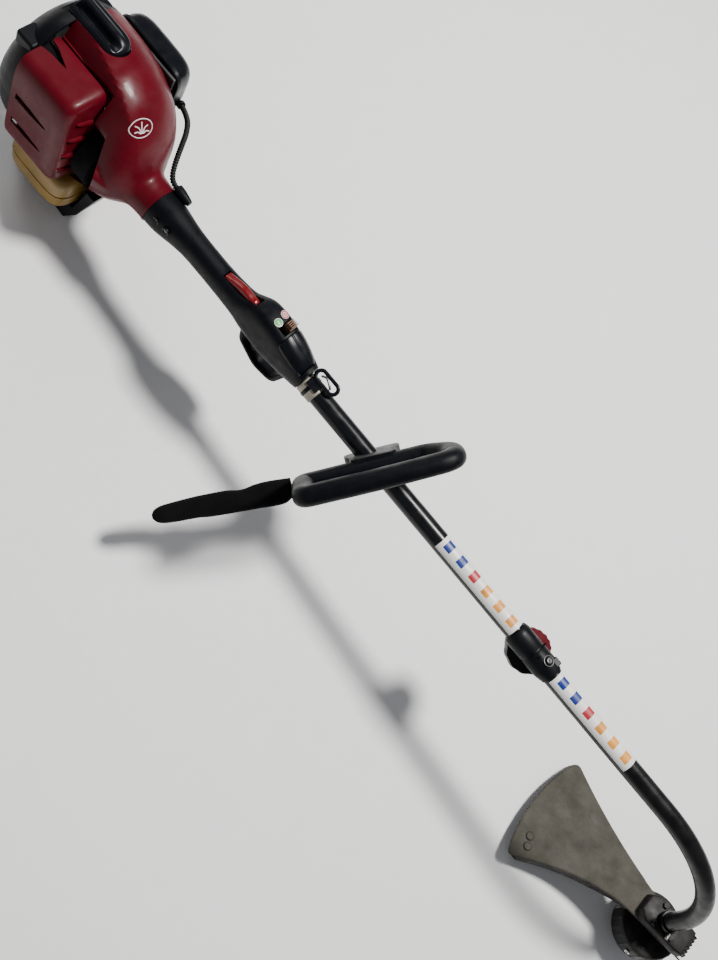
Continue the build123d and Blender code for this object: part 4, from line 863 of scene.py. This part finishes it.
# ---------------------------------------------------------------- handle
def loop_handle():
    """The D handle: a fat round bar with a flat seam band, closed by its saddle over the boom."""
    corners = [
        handle_point(-87.2, 20), handle_point(-87.2, 90), handle_point(-2, 95), handle_point(88, 89),
        handle_point(88.4, 46), handle_point(62, 19.8),
    ]
    path = rounded_path([Vector(c) for c in corners], [8, 10, 600, 36, 34, 26], closed=True, steps=9)
    bar = swept(path, handle_normal, 13.6, 12.3, 2.3, 40, closed=True)
    tube = pipe([handle_place - X * 60, handle_place + X * 60], boom_radius + 0.3, 48)
    dress(carved("loop_bar", bar, [tube]), black_soft, "handle", ("d_handle",))
    seam = swept([p + handle_normal * 8.7 for p in path], handle_normal, 9.4, 0.45, 2.2, 20, closed=True)
    dress(carved("loop_seam", seam, [tube]), black_gloss, "handle")
    base = [(-29, 2), (29, 2), (27, 20), (21, 26.5), (-21, 26.5), (-27, 20)]
    saddle = slab(
        base, handle_place - handle_normal * 14.6, handle_left, handle_up, 29.2
    )
    block = carved("saddle_block", saddle, [tube])
    dress(block, black_moulded, "handle", bevel=2.2)
    piece("saddle_plate", *slab(
        [(-23, 3), (23, 3), (23, 17), (18, 23), (-18, 23), (-23, 17)],
        handle_place - handle_normal * 15.0, handle_left, handle_up, 1.6,
    ), grey_moulded, "handle", bevel=0.6)


def barrier():
    """The foam-covered barrier bar, ribbed finely along its length, reaching out to the right."""
    stations = smooth_stations([
        (-101, -0.5, 10.5, 9), (-112, 2.0, 14.2, 9.4), (-128, 1.4, 15, 9.5), (-143, 0.8, 14.2, 9.5),
        (-160, 1.2, 12.6, 9.5), (-178, -1.0, 13.6, 9.5), (-200, -2.6, 13.4, 9.5), (-217, -4.2, 12.4, 9.4),
        (-240, -4.8, 11.6, 9.2), (-256, -5.4, 10.2, 8.6), (-264, -5.8, 7.4, 7), (-268, -6, 3.2, 4),
    ], 22)
    foam_ripple, ripple_turn = 0.016, 1.57 * 1.02
    rings = []
    for i, (across, ahead, half_ahead, half_up) in enumerate(stations):
        ripple = 1 + foam_ripple * sin(i * ripple_turn)
        centre = handle_place + handle_left * across + handle_ahead * ahead + handle_up * 18.5
        half_sizes = half_ahead * ripple, half_up * ripple
        rings.append(rounded_ring(centre, handle_ahead, handle_up, *half_sizes, 2.5, 36))
    piece("barrier_foam", *skin(rings), black_foam_and_shade, "handle", ("barrier_bar",), crease_angle=60)


def handle_fasteners():
    """The saddle's two socket bolts, seen from above."""
    for i, side in enumerate((-1, 1)):
        head = pan_screw(handle_point(25 * side, 26.4), handle_up, 4.6, 3.2)
        piece(f"saddle_bolt_{i + 1}", *head, zinc, "handle", bevel=0.3)


# ---------------------------------------------------------------- labels
def label_band(name, start, end, body, lean):
    """A wrapped white label with six plain coloured bars across it, and no symbols or lettering."""
    radius = boom_radius + 0.22
    centre_angle = radians(lean)

    def on_tube(x, angle, lift):
        return Vector((x, (radius + lift) * sin(angle), (radius + lift) * cos(angle)))

    def wrapped(low_x, high_x, span, lift, steps, thick=0.12):
        """A thin sheet wrapped over the tube between two places, in narrow strips."""
        strips = []
        for k in range(steps):
            low = centre_angle - span / 2 + span * k / steps
            corners = [(low_x, low), (high_x, low), (high_x, low + span / steps), (low_x, low + span / steps)]
            strips.append(skin([
                [on_tube(x, angle, height) for x, angle in corners] for height in (lift, lift + thick)
            ]))
        return merge(*strips)

    piece(f"{name}_sheet", *wrapped(start, end, radians(128), 0, 24), label_white, body)
    inks = (label_blue, label_blue, label_red, label_orange, label_orange, label_orange)
    pitch = (end - start) / len(inks)
    for k, ink in enumerate(inks):
        middle = start + pitch * (k + 0.5)
        bar = wrapped(middle - 0.24 * pitch, middle + 0.24 * pitch, radians(60), 0.13, 10)
        piece(f"{name}_bar_{k + 1}", *bar, ink, body)


# ---------------------------------------------------------------- strap eye and coupler
coupler_rear = 544
label_lean = -6          # degrees from the tube's top, towards the right
knob_x = 580
knob_axis = Vector((0, sin(radians(28)), -cos(radians(28))))


def strap_hanger():
    """The strap ring: a tan band round the boom, a lug, and a fat black oval ring with its clip."""
    lean = radians(26)
    up = Vector((0, -sin(lean), cos(lean)))
    side = Vector((0, cos(lean), sin(lean)))
    band = turned(
        [(0, 13.0), (0, 13.9), (0.8, 14.3), (21.4, 14.3), (22.2, 13.9),
         (22.2, 13.0)], (155.4, 0, 0), X, Z, 72
    )
    piece("strap_band", *band, band_tan, "trimmer", ("strap_eye",))
    clamp = turned([(0, 13.2), (0.0, 15.0), (5.0, 15.0), (5.0, 13.2)], (162.5, 0, 0), X, Z, 72)
    piece("strap_band_rib", *clamp, black_gloss, "trimmer", bevel=0.5)
    centre = Vector((174, 0, 0)) + side * 17 + up * 16.7
    path = []
    for k in range(48):
        angle = 2 * pi * k / 48
        straight = 10.2 * (1 if cos(angle) > 0 else -1)
        path.append(centre + X * (straight + 6.6 * cos(angle)) + side * (6.6 * sin(angle)))
    piece("strap_ring", *swept(path, up, 2.5, 1.9, 2.4, 20, closed=True), black_gloss, "trimmer")
    lug_place = Vector((166, 0, 0)) + up * 13.6 + side * 4.6
    lug = slab([(-8, -7), (9, -7), (9, 6), (-8, 6)], lug_place, X, side, 3.0)
    piece("strap_lug", *lug, black_gloss, "trimmer", bevel=1.1)
    clip = pipe(curve_points([
        centre + X * -10 - up * 0.6, centre + X * -4 + side * 3 + up * 0.6, centre + X * 4 + up * 0.9,
        centre + X * 9 - side * 3 - up * 0.2,
    ], 8), 1.5, 12)
    piece("strap_clip", *clip, zinc, "trimmer")


def coupler_sleeve():
    """The coupler's moulded sleeve with its boss, a black half cup of painted shade beside the knob, slit,
    pin and ear.
    """
    profile = [
        (544, 13.4), (544.2, 15.0), (545.4, 15.6), (549, 16.5), (551, 16.8), (574, 16.8), (575, 16.2),
        (578, 16.2), (579, 16.8), (600, 16.8), (604, 16.2), (610, 14.8), (613.4, 14.1), (614, 13.4),
    ]
    piece("coupler_sleeve", *turned(profile, (0, 0, 0), X, Z, 96), black_moulded, "trimmer", ("coupler",))
    boss = turned([(12, 13), (25, 13), (26.6, 12), (26.8, 4)], (knob_x, 0, 0), knob_axis, X, 48)
    piece("coupler_boss", *boss, black_moulded, "trimmer", bevel=0.5)
    # a black lobed half cup beside the knob on the right, painted shade for the shadow that falls on that
    # side of the knob
    beside = knob_axis.cross(X)
    rings = []
    for out, outside, inside in ((18.4, 27.6, 2.0), (19.4, 29.2, 1.0), (26.4, 30.4, 1.0),
                                 (26.4, 30.4, 28.2), (37.0, 30.4, 28.2), (38.0, 29.8, 28.6)):
        ring = []
        for reach, sweep in ((outside, range(37)), (inside, range(36, -1, -1))):
            for k in sweep:
                turn = pi * (0.03 + 0.94 * k / 36)
                lobe = 0.5 * cos(12 * turn) if reach == outside else 0
                ring.append(Vector((knob_x, 0, 0)) + knob_axis * out
                            + X * (reach + lobe) * cos(turn) + beside * (reach + lobe) * sin(turn))
        rings.append(ring)
    piece("knob_shade_cup", *skin(rings), black_moulded, "trimmer", crease_angle=40)
    pin = turned([(15.6, 1.9), (16.95, 1.9), (17.1, 1.4), (16.6, 0.1)], (584, -6, 0), Z, X, 24)
    piece("locating_pin", *pin, black_foam_and_shade, "trimmer")
    slit = slab([(577.5, -13.2), (578.7, -13.2), (578.7, 13.2), (577.5, 13.2)], (0, 0, 12), X, Y, 4.9)
    piece("coupler_slit", *slit, black_foam_and_shade, "trimmer")
    ear = slab([(598, 4), (609, 4), (609, 13), (598, 13)], (0, 0, 8.5), X, Y, 7)
    piece("coupler_ear", *ear, black_gloss, "trimmer", bevel=1.4)


def button_and_knob():
    """The release button in its ring, and the red knob with its dark ribs."""
    button = turned([(11.6, 4.9), (18.4, 4.9), (19.6, 4.0), (19.9, 2.4),
                     (19.5, 0.1)], (595, 0, 0), Z, X, 40)
    piece("button_cap", *button, black_gloss, "release_button", ("release_button",))
    collar = turned([(16.2, 7.4), (17.4, 7.2), (17.6, 6.2), (17.2, 5.2),
                     (16.0, 5.2)], (595, 0, 0), Z, X, 40)
    piece("button_collar", *collar, black_gloss, "trimmer")
    profile = [(27.4, 20), (27.6, 26.4), (28.8, 27.2), (39.8, 26.6), (41.6, 25.2), (42.4, 22), (41.2, 13),
               (41.2, 0.2)]
    knob = turned(
        profile, (knob_x, 0, 0), knob_axis, X, 100,
        wave=lambda angle, along, radius: 0.5 * cos(20 * angle) - 0.5 if radius > 19 else 0,
    )
    piece("knob_body", *knob, knob_red, "coupler_knob", ("coupler_knob",), crease_angle=40)
    ribs = []
    for k in range(5):
        angle = 2 * pi * k / 5 + 0.3
        radial = X * cos(angle) + knob_axis.cross(X) * sin(angle)
        around = knob_axis.cross(radial)
        outline = [(8, -1.4), (23, -1.1), (23, 1.1), (8, 1.4)]
        ribs.append(slab(outline, Vector((knob_x, 0, 0)) + knob_axis * 41, radial, around, 2.0))
    piece("knob_ribs", *merge(*ribs), black_moulded, "coupler_knob", bevel=0.5)


# ---------------------------------------------------------------- shield and head
def fan_edge(radius=238.0, corner=11.0):
    """The shield's outline seen from above, in distances back towards the operator and to the left."""
    left_angle, right_angle = radians(20), radians(23)
    rim_left = Vector((radius * cos(left_angle), radius * sin(left_angle)))
    rim_right = Vector((radius * cos(right_angle), -radius * sin(right_angle)))

    def through(a, b, c, steps):
        b_line = [(1 - t) ** 2 * a + 2 * t * (1 - t) * (2 * b - 0.5 * (a + c)) + t * t * c
                  for t in (k / steps for k in range(steps + 1))]
        return b_line

    outline = [Vector((-18, 21)), Vector((10, 21))]
    left_flank = through(Vector((10, 21)), Vector((118, 44)), rim_left, 26)
    arc = [Vector((radius * cos(t), radius * sin(t)))
           for t in (left_angle + (-right_angle - left_angle) * k / 44 for k in range(45))]
    right_flank = through(rim_right, Vector((118, -38)), Vector((30, -21)), 26)
    outline += [p for p in left_flank if (p - rim_left).length > corner]
    outline += rounded_corner(left_flank[-4], rim_left, arc[4], corner)
    outline += [p for p in arc if (p - rim_left).length > corner and (p - rim_right).length > corner]
    outline += rounded_corner(arc[-5], rim_right, right_flank[4], corner)
    outline += [p for p in right_flank if (p - rim_right).length > corner]
    outline += [Vector((-18, -21))]
    return outline


def rounded_corner(before, corner, after, size, steps=7):
    """Points round a corner, cut back by its size."""
    first = corner + (before - corner).normalized() * size
    last = corner + (after - corner).normalized() * size
    return corner_curve(first, corner, last, steps)


def shield_plate():
    """The wide guard: a thin plate with a rounded edge, the skirt round its rim, and two ribs below; the
    skirt and the ribs are coloured in painted shade.
    """
    outline = fan_edge()
    middle = Vector((120, 0))

    def level(points, below):
        return [head_point(below, p.x, p.y) for p in points]

    def drawn(amount):
        moved = []
        count = len(outline)
        for k, point in enumerate(outline):
            along = (outline[(k + 1) % count] - outline[k - 1]).normalized()
            outward = Vector((along.y, -along.x))
            if outward.dot(point - middle) < 0:
                outward.negate()
            moved.append(point + outward * amount)
        return moved

    edge = [(-3.0, 50.0), (-1.2, 50.15), (-0.3, 50.9), (0.2, 52.2), (-1.2, 53.2), (-3.4, 53.0)]
    rings = [level(drawn(grow), height) for grow, height in edge]
    piece("shield_plate", *skin(rings), shield_grey, "lower_boom", ("shield",), crease_angle=50)
    # the skirt follows the edge except at the hub
    count = len(outline)
    skirt_points = [k for k in range(count) if outline[k].x > 46]
    first, last = skirt_points[0], skirt_points[-1]
    depth = []
    for k in range(first, last + 1):
        ramp = min(1, (k - first) / 8, (last - k) / 8)
        depth.append(19.0 * (0.25 + 0.75 * max(0, ramp)))
    outer, inner = drawn(0.4), drawn(-2.0)
    rings = []
    for k in range(first, last + 1):
        drop = depth[k - first]
        lean_out = lean_at(outline[k])
        flare = (outer[k] - inner[k]).normalized() * lean_out * drop / 19
        top_out, top_in = outer[k], inner[k]
        rings.append([
            head_point(51.4, top_out.x, top_out.y), head_point(51.4 + 0.5 * drop, *(top_out + flare * 0.55)),
            head_point(51.4 + drop, *(top_out + flare)),
            head_point(51.6 + drop, *(top_out + flare * 0.7 - (top_out - top_in).normalized())),
            head_point(51.4 + 0.5 * drop, *(top_in + flare * 0.5)), head_point(51.4, top_in.x, top_in.y),
        ])
    # the skirt is painted shade: the shield's grey darkened where it lies in shadow under the rim
    piece("shield_skirt", *skin(rings), shield_shade, "lower_boom", crease_angle=40)
    ribs = []
    for angle in (-9, 7):
        direction = Vector((cos(radians(angle)), sin(radians(angle))))
        across = Vector((-direction.y, direction.x))
        outline_rib = [
            direction * 62 + across * 1, direction * 214 + across * 1, direction * 214 - across * 1,
            direction * 62 - across * 1,
        ]
        ribs.append(skin([level(outline_rib, 52.8), level(outline_rib, 60.0)]))
    # the ribs under the shield are in the same painted shade
    piece("shield_ribs", *merge(*ribs), shield_shade, "lower_boom", bevel=0.5)


def lean_at(point):
    """How far the skirt leans out at the shield's edge: in under the rim, out at its left end."""
    if point.length < 225:
        return 0.6 if point.y < 0 else -1.0
    side = (point.y + 93) / 174
    return -9.0 + 12.0 * max(0, min(1, side)) ** 2.2


def shield_pads():
    """The two rivet-like pads that hold the line cutter, each in a thin ring of painted shade."""
    for i, (back, side) in enumerate(((211, -51), (205, -64))):
        centre = head_point(50, back, side)
        # a thin ring of painted shade round each pad
        moat = turned([(-0.35, 6.9), (-0.1, 6.6), (0.15, 6.0), (-0.1, 5.4)], centre, -head_down, Y, 40)
        piece(f"pad_ring_{i + 1}", *moat, shield_shade, "lower_boom")
        pad = turned(
            [(-0.5, 5.3), (1.0, 5.3), (1.7, 4.8), (2.0, 3.6), (2.0, 0.1)], centre, -head_down, Y, 40
        )
        stands_for = ("shield_screws",) if i == 0 else ()
        piece(f"pad_{i + 1}", *pad, shield_grey, "lower_boom", stands_for, crease_angle=50)


def mounting_block():
    """The black block that clamps the shield under the bend, with its webs and bolts."""
    outline = [(-40, -20), (-30, -21.5), (27, -21.5), (38, -12), (38, 14), (28, 21.5), (-30, 21.5),
               (-40, 20)]
    rings = []
    for below, grow in ((33.6, -3.0), (34.2, -1.4), (35.6, -0.3), (49.4, 0.6), (49.8, 0.4)):
        rings.append([
            head_point(below, a + (grow if a > 0 else -grow), b + (grow if b > 0 else -grow))
            for a, b in outline
        ])
    boom_hole = pipe([head_point(20), head_point(60)], boom_radius + 0.2, 48)
    block = carved("clamp_block", skin(rings), [boom_hole])
    dress(block, head_black, "lower_boom", ("shield_clamp",), bevel=1.0)
    webs = []
    for side in (-15, -9, -3, 3, 9, 15):
        plane = [(0, 0), (9, 0), (7, -12), (0, -14.5)]
        webs.append(slab(
            plane, head_point(49.6, -38.5, side), -head_back, head_down, 1.8,
        ))
    piece("clamp_webs", *merge(*webs), head_black, "lower_boom", bevel=0.4)
    for i, (back, side) in enumerate(((-14, 14), (-14, -14), (15, 15), (15, -15))):
        corner_ring = []
        for height, radius in ((33.9, 4.9), (30.6, 4.9), (29.8, 4.2)):
            corner_ring.append([
                head_point(height, back + radius * cos(k * pi / 3), side + radius * sin(k * pi / 3))
                for k in range(6)
            ])
        piece(f"clamp_bolt_{i + 1}", *skin(corner_ring), head_black, "lower_boom", bevel=0.3)
    band = turned([(0, 13.0), (0, 15.2), (9, 15.2), (9, 13.0)], head_point(22), head_down, Y, 64)
    piece("tube_clamp_band", *band, black_gloss, "lower_boom", bevel=0.6)
    stud = pipe([head_point(26.5, -8, -22), head_point(26.5, -8, 22)], 2.6, 20)
    piece("tube_clamp_stud", *stud, zinc, "lower_boom", bevel=0.3)


def line_head():
    """The bump head: a ribbed housing with eyelets, and a domed knob under it."""
    profile = [
        (77, 6), (77, 34), (77.4, 40), (78.6, 44), (81, 45.6), (84, 46), (108, 46), (112.4, 45.4),
        (115.4, 43.4), (117, 40), (117, 27.5), (114, 27),
    ]
    profile = smooth_profile(profile)

    def ribbed_wall(angle, along, radius):
        return 0.9 * max(0, cos(24 * angle)) ** 3 if 82 < along < 112 and radius > 43 else 0

    body = turned(profile, bend_end, head_down, Y, 240, wave=ribbed_wall)
    piece("head_housing", *body, head_black, "head", ("spool_housing",), crease_angle=32)
    vents = []
    for k in range(8):
        angle = 2 * pi * k / 8 + 0.2
        radial = Y * cos(angle) + head_back * sin(angle)
        around = head_down.cross(radial)
        outline = [(19, -2.6), (37, -4.2), (37, 4.2), (19, 2.6)]
        vents.append(slab(outline, head_point(76.6), radial, around, 0.9))
    piece("head_top_ribs", *merge(*vents), head_black, "head", bevel=0.4)
    for i, side in enumerate((1, -1)):
        profile = [(43, 3.4), (46.6, 3.4), (47.8, 4.4), (48.4, 4.2), (48.4, 1.9), (43, 1.6)]
        eyelet = turned(profile, head_point(96), Y * side, head_down, 32)
        piece(f"eyelet_{i + 1}", *eyelet, steel, "head")
    knob = turned(
        [(107.6, 21.6), (117, 21.6), (118.2, 22.2), (124, 22.0), (129, 18.6), (132.6, 12.4), (134.4, 6),
         (134.8, 0.1)],
        bend_end, head_down, Y, 96,
        wave=lambda angle, along, radius: 0.8 * cos(12 * angle) if 118 < along < 126 else 0,
    )
    piece("bump_cap", *knob, head_black, "bump", ("bump_knob",), crease_angle=40)


def smooth_profile(profile):
    """The same profile, with each long run divided so that ribs along it are smooth."""
    result = []
    for one, two in zip(profile, profile[1:]):
        parts = 1 + int(abs(two[0] - one[0]) / 6)
        for k in range(parts):
            result.append(tuple(a + (b - a) * k / parts for a, b in zip(one, two)))
    return result + [profile[-1]]


# ---------------------------------------------------------------- air box, tank and throttle cable
def air_cover():
    """The soft-edged air box cover on the left, with a stepped rim and a raised panel."""
    middle_x, middle_z, half_x, half_z = -250.5, 32.5, 53.5, 46.5
    rings = []
    for y, inset, power in (
        (83.5, 0.6, 5.5), (84.5, 0.0, 5.5), (88.5, 0.0, 5.5), (89.2, 1.6, 5.3), (90.5, 1.9, 5.3),
        (100, 2.6, 5.0),
        (108, 4.6, 4.6), (113, 8.0, 4.3), (116.5, 13.0, 4.0), (118.4, 19.0, 3.7), (119.0, 26.0, 3.4),
        (119.0, 38.0, 3.2),
    ):
        rings.append(rounded_ring((middle_x, y, middle_z), Z, X, half_z - inset, half_x - inset, power, 96))
    piece("air_cover", *skin(rings), black_gloss, "trimmer", ("filter_cover",), crease_angle=26)
    knob = turned([(118.2, 7.5), (120.4, 7.2), (121.2, 6.0),
                   (121.4, 0.2)], (middle_x, 0, middle_z), Y, X, 36)
    piece("air_cover_latch", *knob, black_moulded, "trimmer", bevel=0.4)


def fuel_tank():
    """The amber tank, its sides swelling a little, with its moulding seam."""
    rings = []
    for z, grow, power in ((-112, -9, 4.0), (-110.6, -5, 4.4), (-107, -1.6, 4.8), (-101, 0, 5.2),
                           (-84, 0.3, 5.2),
                           (-66, 0, 5.2), (-59, -1.4, 4.8), (-55.6, -4.4, 4.4), (-54, -9, 4.0)):
        rings.append(rounded_ring((-251, 0, z), X, Y, 49 + grow, 60 + grow, power, 100))
    piece("tank_body", *skin(rings), tank_amber, "trimmer", ("fuel_tank",), crease_angle=40)
    seam = []
    for z, grow in ((-85.2, -0.4), (-84.6, 0.9), (-83.2, 0.9), (-82.6, -0.4)):
        seam.append(rounded_ring((-251, 0, z), X, Y, 49.3 + grow, 60.3 + grow, 5.2, 100))
    piece("tank_seam", *skin(seam), tank_amber, "trimmer")


sleeve_route = [
    (-194.6, 103.2, 15.6), (-177, 95, 23), (-161, 78, 28), (-149, 58, 30), (-138, 40, 28), (-128, 27, 23),
    (-118, 20.8, 21.2), (-104.3, 20.8, 21.2),
]


def route_line(name, points, steps=60):
    """A smooth line with the points as its control points, in the row frame."""
    curve = bpy.data.curves.new(name, "CURVE")
    curve.dimensions = "3D"
    curve.resolution_u = steps
    spline = curve.splines.new("NURBS")
    spline.points.add(len(points) - 1)
    for point, place in zip(spline.points, points):
        point.co = (*(BOOM @ Vector(place)), 1)
    spline.order_u = 3
    spline.use_endpoint_u = True
    holder = bpy.data.objects.new(name, curve)
    bpy.context.scene.collection.objects.link(holder)
    line = bpy.data.meshes.new_from_object(holder)
    points = [vertex.co.copy() for vertex in line.vertices]
    bpy.data.objects.remove(holder)
    return points


def throttle_sleeve():
    """The corrugated sleeve that carries the throttle cable and the stop wires to the grip."""
    line = route_line("sleeve_route", sleeve_route)
    back_to_boom = BOOM.inverted()
    path = [back_to_boom @ point for point in line]
    travelled = [0.0]
    for one, two in zip(path, path[1:]):
        travelled.append(travelled[-1] + (two - one).length)
    pitch = 3.4

    def ribbed(i):
        wave = 0.5 + 0.5 * cos(2 * pi * travelled[i] / pitch)
        return 3.6 - 1.0 * wave ** 2

    sleeve = piece("throttle_sleeve", *pipe(path, ribbed, 24), rubber, "trimmer", ("throttle_conduit",),
                   crease_angle=80)
    gland = turned([(0, 5.6), (3.6, 5.6), (4.2, 5.0), (4.2, 3.8)], Vector((-198.4, 104.6, 14.4)),
                   Vector((17.6, -8.2, 7.4)), Z, 32)
    piece("sleeve_gland", *gland, black_moulded, "trimmer", bevel=0.3)
    boss = turned([(0, 7), (1.2, 7.3), (8, 6.9), (18, 5.2), (23, 3.8)], (-111.4, 20.8, 21.2), X, Z, 40)
    piece("sleeve_boss", *boss, black_soft, "trimmer", bevel=0.4)


# ---------------------------------------------------------------- CAD nodes that show as they are
def finish_cad_nodes():
    """Every CAD node that isn't replaced gets its own finish, and rounded edges where it is moulded."""
    finishes = (
        (black_moulded, 0.8, ("engine_foot", "head_bearing")),
        (black_soft, 0.7, ("trigger",)),
        (grey_moulded, 0.6, ("handle_clamp", "filter_plate", "starter_pulley", "starter_handle")),
        (boom_paint, 0.0, ("upper_boom", "fuel_cap", "choke_lever")),
        (bend_paint, 0.0, ("lower_boom",)),
        (head_black, 0.5, ("line_spool",)),
        (primer_clear, 0.3, ("primer_bulb",)),
        (filter_foam, 0.0, ("air_filter",)),
        (hot_steel, 0.3, ("muffler",)),
        (alloy, 0.3, ("crankcase", "cylinder", "piston", "carburettor", "flywheel", "connecting_rod")),
        (steel, 0.0, ("crankshaft", "shaft_bearings", "clutch_rotor", "clutch_drum", "upper_drive_shaft",
                      "arbor", "flexible_shaft", "rewind_spring", "head_spring", "spark_plug")),
        (black_moulded, 0.3, ("ignition_module",)),
        (zinc, 0.2, ("handle_bolts", "line_cutter")),
        (line_orange, 0.0, ("wound_line",)),
        (head_black, 0.0, ("line_ends",)),
        (alloy, 0.0, ("shaft_bushings",)),
    )
    for material, bevel, names in finishes:
        for name in names:
            finish_node(name, material, bevel)


# ---------------------------------------------------------------- floor, lights and camera
def stage_floor():
    """A plain pale floor under the machine."""
    bpy.ops.mesh.primitive_plane_add(size=14, location=(0, 0, 0))
    floor = bpy.context.active_object
    floor.name = "floor"
    floor.data.materials.append(floor_white)


def area_light(name, place, target, size, power, tint=(1, 1, 1)):
    light = bpy.data.lights.new(name, "AREA")
    light.shape = "DISK"
    light.size = size
    light.energy = power
    light.color = tint
    lamp = bpy.data.objects.new(name, light)
    lamp.location = place
    lamp.rotation_euler = (Vector(target) - Vector(place)).to_track_quat("-Z", "Y").to_euler()
    bpy.context.scene.collection.objects.link(lamp)


def stage_lights():
    world = bpy.data.worlds.new("studio")
    world.use_nodes = True
    world.node_tree.nodes["Background"].inputs["Color"].default_value = (0.93, 0.95, 1, 1)
    world.node_tree.nodes["Background"].inputs["Strength"].default_value = 0.21
    bpy.context.scene.world = world
    area_light("key", (0.75, 1.0, 2.9), (0.5, 0, 0.1), 0.5, 150, (1, 0.98, 0.95))
    area_light("fill", (0.4, -2.4, 1.8), (0.4, 0, 0.1), 2.0, 1.5, (0.93, 0.96, 1))
    area_light("rim", (-1.5, 0.6, 1.5), (0.1, 0, 0.2), 1.0, 10)


def make_camera():
    """High above the machine's right side, looking down with the engine at the picture's top left."""
    camera = bpy.data.cameras.new("camera")
    camera.sensor_fit = "VERTICAL"
    camera.sensor_height = 36
    camera.lens = 43.125
    viewer = bpy.data.objects.new("camera", camera)
    place = Vector((236.6, -668.1, 1191.53))
    right = Vector((0.64165, 0.66498, 0.38219))
    back = Vector((-0.03624, -0.47146, 0.88114))
    turn = BOOM.to_3x3() * 1000
    right = (turn @ right).normalized()
    back = (turn @ back).normalized()
    upward = back.cross(right)
    spot = BOOM @ place
    viewer.matrix_world = Matrix((
        (right.x, upward.x, back.x, spot.x),
        (right.y, upward.y, back.y, spot.y),
        (right.z, upward.z, back.z, spot.z),
        (0, 0, 0, 1),
    ))
    bpy.context.scene.collection.objects.link(viewer)
    bpy.context.scene.camera = viewer


# ---------------------------------------------------------------- the whole machine
make_camera()
throttle_sleeve()
engine_cowl()
maker_badge()
collar_bead()
air_cover()
fuel_tank()
back_cover()
plug_cap()
muffler_cover()
grip_shell()
collar_screws()
trigger_guard()
front_lid()
switch_marks()
rocker_switch()
lockout()
loop_handle()
barrier()
handle_fasteners()
label_band("rear_label", 404, coupler_rear - 2, "trimmer", label_lean)
label_band("front_label", 616, 756, "lower_boom", label_lean)
strap_hanger()
coupler_sleeve()
button_and_knob()
shield_plate()
shield_pads()
mounting_block()
line_head()
finish_cad_nodes()
stage_floor()
stage_lights()
